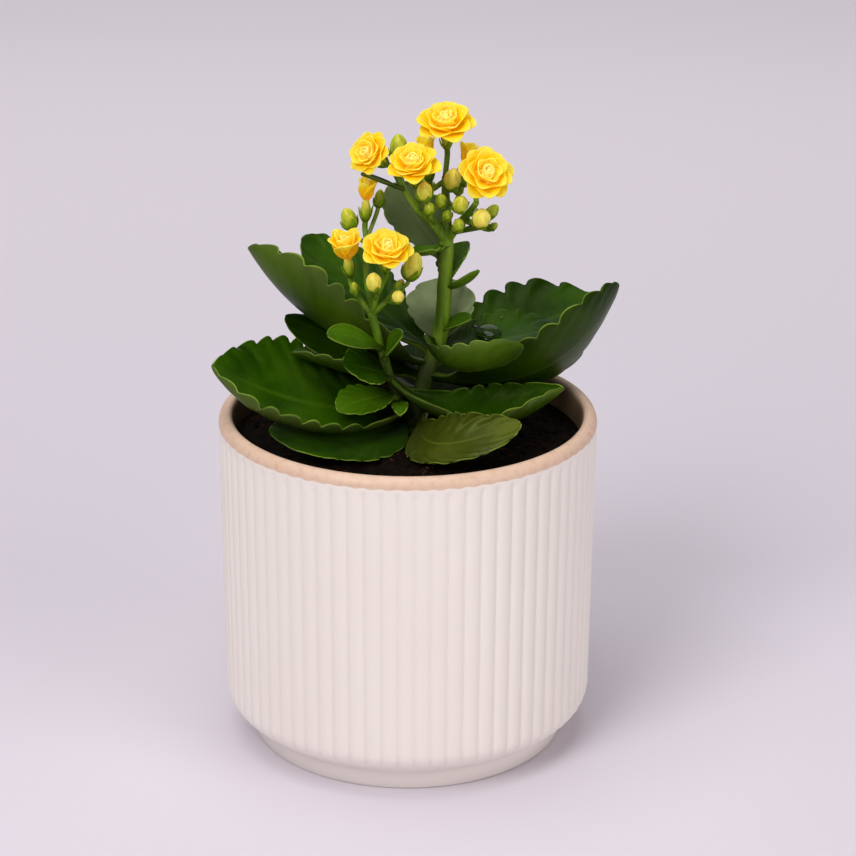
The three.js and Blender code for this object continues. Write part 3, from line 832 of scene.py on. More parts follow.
def set_number(bm: BMesh, verts: Iterable[BMVert], name: str, value: float) -> None:
    """Stores one number on each of the vertices.

    Args:
        bm: the mesh.
        verts: the vertices.
        name: the number's name.
        value: the number.
    """
    layer = bm.verts.layers.float[name]
    for vert in verts:
        vert[layer] = value


def to_piece(
    bm: BMesh,
    name: str,
    finishes: Sequence[Finish],
    stands_for: str | None = None,
) -> bpy.types.Object:
    """Turns a mesh in millimetres into a piece that rides on the plant's one body.

    Args:
        bm: the mesh, which is freed.
        name: the piece's name.
        finishes: one finish for each material index.
        stands_for: the solid that the piece replaces.

    Returns:
        The piece.
    """
    bmesh.ops.scale(bm, vec=(MM, MM, MM), verts=bm.verts)
    for face in bm.faces:
        face.smooth = True
    mesh = bpy.data.meshes.new(name)
    bm.to_mesh(mesh)
    bm.free()
    piece = bpy.data.objects.new(name, mesh)
    bpy.context.scene.collection.objects.link(piece)
    for finish in finishes:
        mesh.materials.append(material_of(finish))
    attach(piece, BODY)
    if stands_for:
        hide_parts(stands_for)
    LOG.info("%s: %d faces", name, len(mesh.polygons))
    return piece


def thicken(piece: bpy.types.Object, thickness: float, two_faced: bool = False) -> None:
    """Gives a sheet its thickness and rounds its rim.

    Args:
        piece: the sheet.
        thickness: in millimetres.
        two_faced: whether the sheet's own vertex group scales it, and its under face and its rim
            take the second and the third material.
    """
    solidify = piece.modifiers.new("thickness", "SOLIDIFY")
    solidify.thickness = thickness * MM
    solidify.offset = 0.0
    if two_faced:
        solidify.vertex_group = "thickness"
        solidify.material_offset = 1
        solidify.material_offset_rim = 2
    rounding = piece.modifiers.new("rounding", "SUBSURF")
    rounding.levels = rounding.render_levels = 1


# ---------------------------------------------------------------- pot and soil


@dataclass
class Pot:
    """The fluted pot, with a rounded lip, a rounded lower corner and a plain foot.

    The outlines are places of radius and height: the foot from the middle of its base up to the
    lower corner, the lip from the outside over its top, and the inside down to the floor's middle.
    """

    foot: Outline = (
        (0.0, 0.0), (48.5, 0.0), (49.8, 0.1), (50.4, 0.7), (51.3, 5.6),
        (51.6, 6.4), (52.4, 7.2), (54.4, 8.6), (56.4, 10.2),
    )
    lip: Outline = (
        (59.9, 106.6), (59.5, 107.6), (58.9, 108.3), (58.1, 108.8), (57.3, 109.0),
        (56.5, 108.8), (55.9, 108.3), (55.5, 107.5), (55.3, 106.4),
    )
    inside: Outline = (
        (55.2, 105.0), (55.2, 99.0), (55.2, 60.0), (55.2, 20.0),
        (54.8, 13.0), (52.6, 8.6), (49.2, 7.0), (0.0, 7.0),
    )
    corner_radius: float = 7.5
    corner_turn: int = 40
    wall_heights: Span = (16.0, 105.8)
    wall_radii: Span = (59.2, 60.0)
    wall_shares: Sequence[float] = (0.1, 0.25, 0.4, 0.55, 0.7, 0.85, 0.93, 0.95, 0.96, 0.97, 0.98, 0.99, 1.0)
    flutes: int = 72
    flute_depth: float = 0.75
    flute_roundness: float = 0.93
    flute_starts: Span = (10.3, 11.8)
    flute_ends: Span = (102.2, 105.4)
    fluted_beyond: float = 55.8
    steps_in_flute: int = 10

    def profile(self) -> list[tuple[float, float]]:
        """The outline from the middle of the base, up outside, over the lip and down inside.

        Returns:
            Places of radius and height.
        """
        corner = []
        for degrees in range(self.corner_turn, -1, -5):
            angle = math.radians(degrees)
            radius = self.wall_radii[0] - self.corner_radius * (1 - math.cos(angle))
            corner.append((radius, self.wall_heights[0] - self.corner_radius * math.sin(angle)))
        shares = self.wall_shares
        wall = [(lerp(*self.wall_radii, share), lerp(*self.wall_heights, share)) for share in shares]
        return [*self.foot, *corner, *wall, *self.lip, *self.inside]

    def flute(self, turn: float, height: float) -> float:
        """How deep the wall is cut: rounded crests, sharp valleys.

        Args:
            turn: the angle about the Z axis, in radians.
            height: the height, in millimetres.

        Returns:
            The depth, in millimetres.
        """
        from_crest = 1 - abs(2 * ((turn / math.tau * self.flutes) % 1.0) - 1)
        cut = 1 - math.sqrt(1 - self.flute_roundness * from_crest**2)
        deepest = 1 - math.sqrt(1 - self.flute_roundness)
        return self.flute_depth * cut / deepest * plateau(height, self.flute_starts, self.flute_ends)

    def build(self) -> None:
        """Builds the pot."""
        bm = new_mesh()
        verts = add_turned(bm, self.profile(), self.flutes * self.steps_in_flute)
        for vert in verts:
            radius = math.hypot(vert.co.x, vert.co.y)
            if radius > self.fluted_beyond:
                vert.co.xy *= 1 - self.flute(math.atan2(vert.co.y, vert.co.x), vert.co.z) / radius
        face_outwards(bm, verts)
        to_piece(bm, "pot_glazed", [GLAZE_FINISH], "pot")


@dataclass
class Soil:
    """The soil: a lumpy surface with crumbs and fibres strewn on it."""

    edge_height: float = 99.5
    radius: float = 54.9
    underside: Outline = (
        (0.0, 7.3), (49.0, 7.3), (52.4, 9.0), (54.4, 14.0), (54.9, 22.0), (54.9, 96.0), (54.9, 98.6),
    )
    crown_rise: float = 0.5
    lump: float = 1.1
    grain: float = 0.55
    rings: int = 84
    segments: int = 300
    crumbs: int = 1500
    crumb_sides: Sequence[Span] = ((0.7, 1.6), (0.6, 1.0), (0.4, 0.8))
    crumb_tones: Sequence[float] = (0.0, 0.15, 0.3, 0.45, 0.6, 0.95)
    crumb_dent: float = 0.12
    fibres: int = 420
    fibre_lifts: Sequence[Span] = ((0.0, 0.3), (0.1, 1.0), (0.0, 0.7))
    draws: random.Random = field(default_factory=lambda: random.Random(11))

    def height_at(self, x: float, y: float) -> float:
        """The height of the soil's surface.

        Args:
            x: the place to the right.
            y: the place to the back.

        Returns:
            The height, in millimetres.
        """
        share = min(math.hypot(x, y) / self.radius, 1.0)
        place = Vector((x, y, 3.0))
        lumps = noise.fractal(place * 0.11, 0.9, 2.1, 3) * self.lump
        grain = noise.fractal(place * 0.55, 0.7, 2.2, 4) * self.grain
        heap = self.crown_rise * (1 - share**2)
        return self.edge_height + heap + (lumps + grain) * (1 - share**8)

    def build(self) -> None:
        """Builds the soil and what lies on it."""
        bm = new_mesh()
        top = [(self.radius * (1 - ring / self.rings), self.edge_height) for ring in range(self.rings + 1)]
        verts = add_turned(bm, [*self.underside, *top], self.segments)
        for vert in verts:
            if vert.co.z > self.edge_height - 0.1:
                vert.co.z = self.height_at(vert.co.x, vert.co.y)
        face_outwards(bm, verts)
        to_piece(bm, "soil_bed", [SOIL_FINISH], "soil")
        self._strew_crumbs()
        self._strew_fibres()

    def _spot(self, lift: float, margin: float = 1.6) -> Vector:
        """A place on the surface, drawn at random.

        Args:
            lift: how far it is above the surface.
            margin: how far it stays from the soil's edge.

        Returns:
            The place, in millimetres.
        """
        reach = (self.radius - margin) * math.sqrt(self.draws.random())
        turn = self.draws.random() * math.tau
        x, y = reach * math.cos(turn), reach * math.sin(turn)
        return Vector((x, y, self.height_at(x, y) + lift))

    @staticmethod
    def _lowered(spot: Vector, depth: float = 0.8) -> Vector:
        """The place of a crumb, deeper under the lowest leaf, where it would come through the blade."""
        under_leaf = spot.x < 2 and -22 < spot.y < 6
        return spot - UP * depth if under_leaf else spot

    def _strew_crumbs(self) -> None:
        """Strews small angular crumbs of earth and bark."""
        draws = self.draws
        bm = new_mesh("tone")
        for _ in range(self.crumbs):
            size = 0.25 + 0.8 * draws.random() ** 3
            turn = Quaternion([draws.gauss(0, 1) for _ in range(4)]).normalized()
            stretch = tuple(size * draws.uniform(*span) for span in self.crumb_sides)
            place = Matrix.LocRotScale(self._lowered(self._spot(size * 0.15)), turn, stretch)
            made = bmesh.ops.create_icosphere(bm, subdivisions=1, radius=1.0, matrix=place)["verts"]
            for vert in made:
                vert.co += Vector([draws.uniform(-self.crumb_dent, self.crumb_dent) * size for _ in range(3)])
            set_number(bm, made, "tone", draws.choice(self.crumb_tones) * draws.random())
        to_piece(bm, "soil_crumbs", [CRUMB_FINISH])

    def _strew_fibres(self) -> None:
        """Strews thin bent fibres of peat."""
        draws = self.draws
        bm = new_mesh("tone")
        for _ in range(self.fibres):
            start = self._spot(0.2)
            length = draws.uniform(2.0, 7.0)
            turn = draws.random() * math.tau
            ahead = directions(turn)[0] * length / 3
            aside = Vector((-ahead.y, ahead.x, 0.0)) * draws.uniform(-0.7, 0.7)
            places = [start, start + ahead + aside, start + ahead * 2 + aside, start + ahead * 3]
            kept = [place for place in places if math.hypot(place.x, place.y) < self.radius - 1.0]
            if len(kept) < 3:
                continue
            lifts = [*(draws.uniform(*span) for span in self.fibre_lifts), 0.1]
            points = [(p.x, p.y, self.height_at(p.x, p.y) + lift) for p, lift in zip(kept, lifts)]
            thickness = draws.uniform(0.07, 0.16)
            made = add_tube(bm, SmoothLine(points), lambda share, t=thickness: t * (1.2 - share), 3, 4)
            set_number(bm, made, "tone", draws.uniform(0.15, 0.95))
        to_piece(bm, "soil_fibres", [CRUMB_FINISH])


# ---------------------------------------------------------------- stems


@dataclass
class Stem:
    """A fleshy stem along a smooth line."""

    path: Sequence[Point]
    foot_radius: float
    top_radius: float
    joints: Sequence[float]

    joint_swelling = 0.09
    joint_length = 0.025

    def line(self) -> SmoothLine:
        """The stem's middle line."""
        return SmoothLine(self.path)

    def radius(self, share: float) -> float:
        """The radius at a share of the length, with a slight swelling at each joint."""
        swelling = sum(math.exp(-(((share - joint) / self.joint_length) ** 2)) for joint in self.joints)
        return lerp(self.foot_radius, self.top_radius, share) * (1 + self.joint_swelling * swelling)

    def add_to(self, bm: BMesh) -> None:
        """Adds the stem to a mesh."""
        add_tube(bm, self.line(), self.radius, 24, 72)


MAIN_STEM = Stem(
    [(2, 4, 77), (2, 4, 100), (5, 5.5, 116), (10, 7, 131), (11.5, 8, 148), (12, 8, 165)],
    3.0,
    2.1,
    (0.3, 0.38, 0.47, 0.58, 0.8, 0.93),
)
SIDE_STEM = Stem(
    [(3, 4.5, 104), (-1.5, 1, 109), (-4, -1, 115), (-7.5, -3, 127), (-11.5, -5, 143)],
    1.7,
    1.2,
    (0.3, 0.6, 0.97),
)
STEMS = {"main": MAIN_STEM, "side": SIDE_STEM}


# ---------------------------------------------------------------- leaves


def hand(across: float) -> int:
    """0 on the left half of a leaf, and 1 on its right half."""
    return 0 if across > 0 else 1


@dataclass(eq=False)
class Leaf:
    """A fleshy leaf with rounded lobes on its margins.

    The sizes are those of the solid model: arch and bow are the midrib's rise and sideways bend as
    shares of the length, roll turns the leaf about the line from root to tip, cup is how far its left
    and right halves curl up, in degrees, and lip how much more their margins turn up. fold is how
    deep the creases between the lobes are.
    """

    name: str
    root: Point | tuple[str, float]
    tip: Point
    width: float
    arch: float
    bow: float
    roll: float
    cup: tuple[float, float]
    teeth: int
    tone: LeafTone = LeafTone.DEEP
    lip: tuple[float, float] = (0.0, 0.0)
    fold: tuple[float, float] = (0.3, 0.3)
    notch: float = 0.1
    margin_thickness: float = 0.5
    middle_thickness: float = 1.2

    petiole_share = 0.08
    petiole_width = 3.4
    skew = 1.2
    bluntness = 0.55
    lip_start = 0.6
    first_lobe = 0.32
    last_lobe = 0.97
    crease_slant = 2.2
    foot_rows = 14
    lobe_rows = 8
    tip_rows = 5
    plain_rows = 26
    columns = 20
    small_width = 8.0
    foot_thickness = 2.4
    small_foot_thickness = 1.44
    full_fold = 0.6
    groove_depth = 0.35
    groove_width = 0.09
    drift = 0.35
    sway = 1.3
    sway_width = 30.0

    def __post_init__(self) -> None:
        """Sets the leaf's own directions."""
        if isinstance(self.root[0], str):
            stem, height = self.root
            self.start = STEMS[stem].line().at_height(height)
        else:
            self.start = Vector(self.root)
        reach = Vector(self.tip) - self.start
        self.length = reach.length
        self.ahead = reach.normalized()
        level = Vector((-self.ahead.y, self.ahead.x, 0.0)).normalized()
        upright = self.ahead.cross(level)
        roll = math.radians(self.roll)
        self.left = level * math.cos(roll) + upright * math.sin(roll)
        self.face = self.ahead.cross(self.left)
        self.narrowest = min(0.5, self.petiole_width / self.width)
        self.stout = self.foot_thickness if self.width >= self.small_width else self.small_foot_thickness
        lobed_rows = self.foot_rows + self.lobe_rows * self.teeth + self.tip_rows
        self.rows = lobed_rows if self.teeth else self.plain_rows
        draws = random.Random(self.name)
        self.shifts = [0.0] + [draws.uniform(-0.22, 0.22) for _ in range(self.teeth - 1)] + [0.0, 0.0]
        self.depths = [draws.uniform(0.8, 1.6) for _ in range(self.teeth + 2)]
        self.stagger = (draws.uniform(-0.15, 0.15), draws.uniform(0.35, 0.6))
        self.seed = draws.uniform(0, 50)

    @property
    def step(self) -> float:
        """How long a lobe is, as a share of the leaf's length."""
        return (self.last_lobe - self.first_lobe) / self.teeth

    def station(self, share: float) -> tuple[float, float, float]:
        """Where a row of the mesh lies.

        Args:
            share: the row's place in the mesh, from 0 to 1.

        Returns:
            The place along the leaf, the place in its lobe, counted in lobes, and how deep the
            notches are there.
        """
        if not self.teeth:
            return share, 0.5, 0.0
        row = share * self.rows
        if row <= self.foot_rows:
            along = self.first_lobe * row / self.foot_rows
            return along, (along - self.first_lobe) / self.step, self.depths[0]
        phase = min((row - self.foot_rows) / self.lobe_rows, float(self.teeth))
        lobe = int(phase)
        part = phase - lobe
        along = self.first_lobe + self.step * (phase + lerp(self.shifts[lobe], self.shifts[lobe + 1], part))
        beyond = row - (self.rows - self.tip_rows)
        if beyond > 0:
            phase += 0.5 * beyond / self.tip_rows
            along = 1 - (1 - self.last_lobe) * (1 - beyond / self.tip_rows) ** 1.6
        return along, phase, lerp(self.depths[lobe], self.depths[lobe + 1], part)

    def outline(self, along: float) -> float:
        """Half the width of the leaf.

        Args:
            along: the place along the leaf, from 0 to 1.

        Returns:
            The half width, as a share of the widest.
        """
        if along <= self.petiole_share:
            return self.narrowest
        share = min((along - self.petiole_share) / (1 - self.petiole_share), 1.0)
        oval = max(math.sin(math.pi * share**self.skew), 0.0) ** self.bluntness
        return max(self.narrowest, oval) if along < 0.5 else oval

    @functools.cache
    def row(self, along: float) -> tuple[Vector, Vector, Vector, Vector, float]:
        """The midrib of the leaf.

        Args:
            along: the place along the leaf, from 0 to 1.

        Returns:
            The midrib's place, the directions ahead, to the left and up, and the half width.
        """
        hump = 4 * along * (1 - along) * self.length
        slope = 4 * (1 - 2 * along)
        ahead = (self.ahead + self.face * (self.arch * slope) + self.left * (self.bow * slope)).normalized()
        side = (self.left - ahead * self.left.dot(ahead)).normalized()
        place = self.start + self.ahead * (along * self.length)
        place += self.face * (self.arch * hump) + self.left * (self.bow * hump)
        return place, ahead, side, ahead.cross(side), self.width / 2 * self.outline(along)

    @functools.cache
    def section(self, across: float) -> tuple[float, float, float]:
        """The cross section of the leaf.

        Args:
            across: the place across the leaf, from -1 to 1.

        Returns:
            How far the place lies to the left and above, as shares of the half width, and the
            slope there, in radians.
        """
        steps = 8
        aside = above = angle = 0.0
        for index in range(steps + 1):
            share = min((index + 0.5) / steps, 1.0) * abs(across)
            past = max(0.0, share - self.lip_start) / (1 - self.lip_start)
            angle = math.radians(self.cup[hand(across)] * share + self.lip[hand(across)] * past)
            if index < steps:
                aside += math.cos(angle) * across / steps
                above += math.sin(angle) * abs(across) / steps
        return aside, above, math.copysign(angle, across)

    def at(self, along: float, across: float) -> tuple[Vector, Vector]:
        """The leaf's middle surface.

        Args:
            along: the place along the leaf, from 0 to 1.
            across: the place across the leaf, from -1 to 1.

        Returns:
            The place and the upward direction.
        """
        place, ahead, side, up, half = self.row(along)
        aside, above, slope = self.section(across)
        slant = side * math.cos(slope) + up * math.sin(slope)
        return place + side * (half * aside) + up * (half * above), ahead.cross(slant)

    def crease(self, share: float, across: float) -> float:
        """The ridges and creases that run between the lobes.

        Args:
            share: the row's place in the mesh, from 0 to 1.
            across: the place across the leaf, from -1 to 1.

        Returns:
            About 1 on a ridge and about -1 in a crease.
        """
        along, phase, _ = self.station(share)
        slanted = phase + self.crease_slant * (1 - abs(across))
        wave = -math.cos(math.tau * slanted) * plateau(along, (0.15, 0.35), (0.85, 1.0))
        uneven = 0.75 + 1.1 * noise.noise(Vector((slanted * 0.8, self.seed, math.copysign(3.0, across))))
        return wave * uneven * abs(across) ** 1.5

    def shape(self, share: float, across: float) -> Vector:
        """The leaf with its lobes, creases and unevenness.

        Args:
            share: the row's place in the mesh, from 0 to 1.
            across: the place across the leaf, from -1 to 1.

        Returns:
            The place, in millimetres.
        """
        along, phase, depth = self.station(share)
        size = abs(across)
        lobed = 0.0
        if self.teeth and along >= self.first_lobe:
            lobed = depth * (1 - math.sin(math.pi * (phase % 1.0) ** 0.85) ** 0.55)
        elif self.teeth:
            lobed = depth * (1 - math.sqrt(1 - smooth(along, 0.2, self.first_lobe) ** 2))
        if self.teeth:
            ahead = self.stagger[hand(across)] * self.step * size**2
            along += ahead * plateau(along, (0.1, 0.3), (0.85, 1.0))
        place, up = self.at(along, across * (1 - self.notch * lobed * size**3))
        lift = self.fold[hand(across)] * self.crease(share, across)
        in_groove = math.exp(-((across / self.groove_width) ** 2)) * smooth(along, 0.05, 0.2)
        lift -= self.groove_depth * in_groove * (1 - along)
        lift += self.drift * noise.noise(place * 0.09) * size
        wide = min(self.width / self.sway_width, 1.0)
        swaying = noise.noise(place * 0.04 + Vector((self.seed, 0.0, 0.0))) * smooth(along, 0.1, 0.4)
        return place + up * (lift + self.sway * swaying * size**2 * wide)

    def thickness(self, along: float, across: float) -> float:
        """How thick the leaf is at a place, in millimetres."""
        blade = lerp(self.middle_thickness, self.margin_thickness, abs(across))
        return lerp(self.stout, blade, smooth(along, 0.0, 0.3))

    def build(self) -> None:
        """Builds the leaf as a sheet, which modifiers then thicken and round."""
        bm = new_mesh("crease")
        layer = bm.verts.layers.deform.verify()
        crease = bm.verts.layers.float["crease"]
        bmesh.ops.create_grid(bm, x_segments=self.rows, y_segments=self.columns, size=1.0, calc_uvs=True)
        for vert in bm.verts:
            share, across = (vert.co.x + 1) / 2, math.copysign(abs(vert.co.y) ** 0.9, vert.co.y)
            vert[layer][0] = self.thickness(self.station(share)[0], across) / self.stout
            # The crease number also sets the painted shade in the creases and the painted sheen on the
            # ridges.
            vert[crease] = self.crease(share, across) * min(self.fold[hand(across)] / self.full_fold, 1.0)
            vert.co = self.shape(share, across)
        bmesh.ops.remove_doubles(bm, verts=bm.verts, dist=1e-3)
        finishes = [leaf_finish(self.tone, under) for under in (False, True, False)]
        node = f"leaf_{self.name}"
        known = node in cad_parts
        piece = to_piece(bm, f"{node}_blade", finishes, node if known else None)
        piece.vertex_groups.new(name="thickness")
        thicken(piece, self.stout, two_faced=True)


LEAVES = [
    Leaf(
        "left_front", ("main", 107.3), (-61, -8, 126), 52, -0.06, 0.06, -24, (40, 15),
        7, lip=(60, 0), fold=(0.35, 1.2),
    ),
    Leaf("left_low", ("main", 101.8), (-43, -18, 108.5), 35, -0.03, 0.11, -12, (16, 20), 6),
    Leaf(
        "front", (5.0, 3.4, 105.0), (35, -24, 113.2), 22, 0.145, -0.36, 35, (40, 30),
        5, LeafTone.OLIVE, fold=(0.9, 0.6), notch=0.16,
    ),
    Leaf("right_front", ("side", 119.4), (49, -5, 118), 28.5, -0.2, -0.1, 10, (78, 85), 5),
    Leaf("right_inner", (6.2, 4.9, 131.2), (35.3, -19.2, 137.2), 26, -0.24, -0.12, -18, (20, 78), 4),
    Leaf(
        "right_high", ("main", 118), (67, 21.5, 143.6), 36, -0.22, 0, -52, (27, 26),
        5, LeafTone.WAXY, notch=0.16,
    ),
    Leaf(
        "right_back", ("main", 122), (62, 38, 133.3), 42, -0.02, 0, 14, (24, 36),
        5, fold=(0.45, 0.3), notch=0.17,
    ),
    Leaf("right_middle", ("main", 125.4), (49, 17, 130), 28, 0, 0, 12, (20, 24), 5),
    Leaf(
        "left_high", ("main", 122), (-51, 24, 154.5), 54, -0.12, 0.02, 24, (76, 70),
        5, fold=(0.4, 0.5), notch=0.13,
    ),
    Leaf("left_back", ("main", 125), (-34, 40, 153.5), 27, -0.02, 0, -10, (20, 20), 6, fold=(0.5, 0.5)),
    Leaf("left_middle", ("main", 117), (-39.5, 19.6, 132.9), 18, 0, 0, -35, (20, -50), 4, LeafTone.DARK),
    Leaf("left_inner", ("main", 112.4), (-37, 7, 125), 25, 0, 0, 0, (72, 14), 4),
    Leaf("back", ("main", 102.3), (2, 50.5, 112.5), 18, 0.08, 0, 4, (0, 0), 6, LeafTone.DARK),
    Leaf("back_left", ("main", 109.8), (-33, 45, 121.5), 30, 0.02, -0.03, 6, (24, 28), 6, LeafTone.DARK),
    Leaf("back_right", ("main", 105.2), (32, 45, 116), 30, 0.02, 0.02, 6, (24, 24), 6, LeafTone.DARK),
    Leaf("upright_back", ("main", 155), (-6, 22, 176), 20, 0.04, 0, -25, (20, 20), 3, LeafTone.GREY),
    Leaf("pale_back", ("main", 127.6), (11.5, 24, 144.5), 23, 0.05, 0, 0, (15, 15), 3, LeafTone.PALE),
    Leaf("wavy_right", ("main", 148), (18, 18, 158.5), 15, 0.05, 0, -20, (28, 28), 3, LeafTone.FRESH),
    Leaf("pointed_right", ("main", 147), (22, 2, 154.5), 5.5, -0.12, 0, -20, (52, 52), 0, LeafTone.FRESH),
    Leaf("curled_left", ("main", 161), (1, -1, 161), 11, -0.1, 0, 10, (48, 48), 2, LeafTone.FRESH),
    Leaf("small_bright", ("main", 132.5), (20, 2, 139), 6.5, 0.05, 0, 30, (28, 28), 0, LeafTone.FRESH),
    Leaf("side_left", ("side", 113.5), (-22, -10, 112), 18, 0.05, 0, -10, (20, 20), 4, LeafTone.FRESH),
    Leaf("side_upper", ("side", 120.5), (-20, -9, 127), 18, 0.02, 0, -25, (20, 20), 4),
    Leaf("side_front", ("side", 111), (-2.5, -9, 110), 6, 0.1, 0, 0, (36, 36), 2, LeafTone.FRESH),
    Leaf("bract_left", ("side", 131), (-25, -13.5, 138.3), 10.5, 0.05, 0, -30, (15, 15), 0, LeafTone.FRESH),
    Leaf("bract_right", ("side", 127), (-1.5, -8, 137), 9, 0.05, 0, 45, (20, 20), 0, LeafTone.FRESH),
    Leaf("head_bract_left", (-1.5, 0.8, 181), (-14.5, -3, 187), 4.5, 0, 0, 0, (28, 28), 0),
    Leaf("head_bract_right", (13, 7, 165), (25.5, -2, 170), 5, 0, 0, 0, (42, 42), 0, LeafTone.FRESH),
]


# ---------------------------------------------------------------- flower heads


class Form(Enum):
    """How far a flower has opened."""

    OPEN = "open"
    HALF = "half"
    CUP = "cup"


@dataclass(frozen=True)
class Ring:
    """A ring of petals: lengths are shares of the flower's size, and angles are in degrees.

    The leans are measured from the flower's axis, cup is how far a petal's sides curl inwards, and
    depth is 0 for the outermost ring and 1 for the innermost.
    """

    petals: int
    length: float
    width: float
    lean_root: float
    lean_tip: float
    spin: float
    cup: float
    depth: float


RINGS = {
    Form.OPEN: (
        Ring(5, 0.52, 0.43, 50, 94, 0, 30, 0.0),
        Ring(5, 0.52, 0.44, 42, 74, 36, 36, 0.2),
        Ring(5, 0.51, 0.43, 34, 52, 12, 44, 0.4),
        Ring(5, 0.47, 0.4, 26, 28, 50, 54, 0.6),
        Ring(4, 0.43, 0.4, 18, 0, 20, 68, 0.8),
        Ring(3, 0.4, 0.4, 12, -28, 45, 88, 1.0),
    ),
    Form.HALF: (
        Ring(5, 0.92, 0.62, 26, 40, 0, 38, 0.2),
        Ring(5, 0.86, 0.56, 20, 14, 36, 50, 0.6),
        Ring(4, 0.8, 0.5, 18, -14, 8, 62, 0.9),
    ),
    Form.CUP: (
        Ring(5, 0.98, 0.56, 20, 24, 0, 45, 0.2),
        Ring(4, 0.92, 0.5, 16, -6, 36, 60, 0.6),
    ),
}


@dataclass
class Flower:
    """A double flower of pointed petals in rings, with the tube and sepals below them."""

    name: str
    form: Form
    centre: Point
    facing: Point
    size: float
    branch: int
    at: float

    petal_rows = 7
    petal_columns = 6
    petal_thickness = 0.4
    petal_slices = 24
    petal_twist = 0.14
    tube_length = 4.3
    calyx_length = 3.0
    tube_sink = 6.2

    @property
    def axis(self) -> Vector:
        """Where the flower looks."""
        return Vector(self.facing).normalized()

    @property
    def foot(self) -> Vector:
        """Where the calyx starts on the stalk."""
        return Vector(self.centre) - self.axis * (self.tube_length + self.calyx_length)

    def add_petal(self, bm: BMesh, ring: Ring, turn: float, draws: random.Random) -> None:
        """Adds one petal about +Z.

        Args:
            bm: the mesh.
            ring: the ring that the petal is in.
            turn: its direction, in radians.
            draws: small random differences.
        """
        length = ring.length * self.size * draws.uniform(0.94, 1.05)
        width = ring.width * self.size * draws.uniform(0.92, 1.08)
        lean_root = math.radians(ring.lean_root + draws.uniform(-4, 4))
        lean_tip = math.radians(ring.lean_tip + draws.uniform(-8, 8))
        root_radius = 0.05 * self.size * (1 - 0.8 * ring.depth)
        slices = self.petal_slices
        spots = [(root_radius, 0.0)]
        for index in range(slices):
            lean = lerp(lean_root, lean_tip, ((index + 0.5) / slices) ** 1.3)
            radius, height = spots[-1]
            step = length / slices
            spots.append((radius + step * math.sin(lean), height + step * math.cos(lean)))
        outwards, sideways = directions(turn)
        twist = draws.uniform(-self.petal_twist, self.petal_twist)
        cup = math.radians(ring.cup)

        def shape(share: float, across: float) -> Vector:
            """The petal's surface.

            Args:
                share: the place along the petal, from 0 to 1.
                across: the place across it, from -1 to 1.

            Returns:
                The place, in millimetres.
            """
            along = 1 - (1 - share) ** 1.35
            step = along * slices
            low = min(int(step), slices - 1)
            radius = lerp(spots[low][0], spots[low + 1][0], step - low)
            height = lerp(spots[low][1], spots[low + 1][1], step - low)
            lean = lerp(lean_root, lean_tip, along**1.3)
            inwards = UP * math.sin(lean) - outwards * math.cos(lean)
            half = width / 2 * (0.34 * (1 - along) + max(math.sin(math.pi * along**0.95), 0.0) ** 0.6)
            aside = half * math.sin(cup * across) / cup
            rise = half * (1 - math.cos(cup * across)) / cup + twist * half * across
            return outwards * radius + UP * height + sideways * aside + inwards * rise

        made = add_sheet(bm, self.petal_rows, self.petal_columns, shape)
        set_number(bm, made, "ring", ring.depth)

    def build(self, index: int) -> None:
        """Builds the petals in one piece.

        Args:
            index: the flower's number, which its random differences follow.
        """
        draws = random.Random(100 + index)
        bm = new_mesh("ring")
        for ring in RINGS[self.form]:
            for petal in range(ring.petals):
                turn = math.tau * petal / ring.petals + math.radians(ring.spin) + draws.uniform(-0.06, 0.06)
                self.add_petal(bm, ring, turn, draws)
        bmesh.ops.remove_doubles(bm, verts=bm.verts, dist=1e-3)
        bmesh.ops.transform(bm, matrix=standing(self.axis, Vector(self.centre), index), verts=bm.verts)
        piece = to_piece(bm, f"flower_{self.name}_petals", [PETAL_FINISH], f"flower_{self.name}")
        thicken(piece, self.petal_thickness)

    def add_tube_to(self, bm: BMesh) -> None:
        """Adds the greenish tube that carries the petals.

        Args:
            bm: the mesh, with a number for ripeness.
        """
        top = 0.075 * self.size + 0.45
        profile = [(0.0, 0.0), (1.15, 0.2), (1.45, 1.4), (1.75, 3.2)]
        profile += [(top, 5.4), (top * 0.9, 6.6), (0.0, 7.0)]
        made = add_turned(bm, profile, 14)
        layer = bm.verts.layers.float["ripe"]
        for vert in made:
            vert[layer] = 0.12 + 0.6 * vert.co.z / 7.0
        face_outwards(bm, made)
        start = Vector(self.centre) - self.axis * self.tube_sink
        bmesh.ops.transform(bm, matrix=standing(self.axis, start), verts=made)


@dataclass(frozen=True)
class Bud:
    """A closed bud on a stalk: ripe is 0 for a green bud and 1 for a yellow one."""

    centre: Point
    length: float
    width: float
    branch: int
    at: float
    ripe: float = 0.3


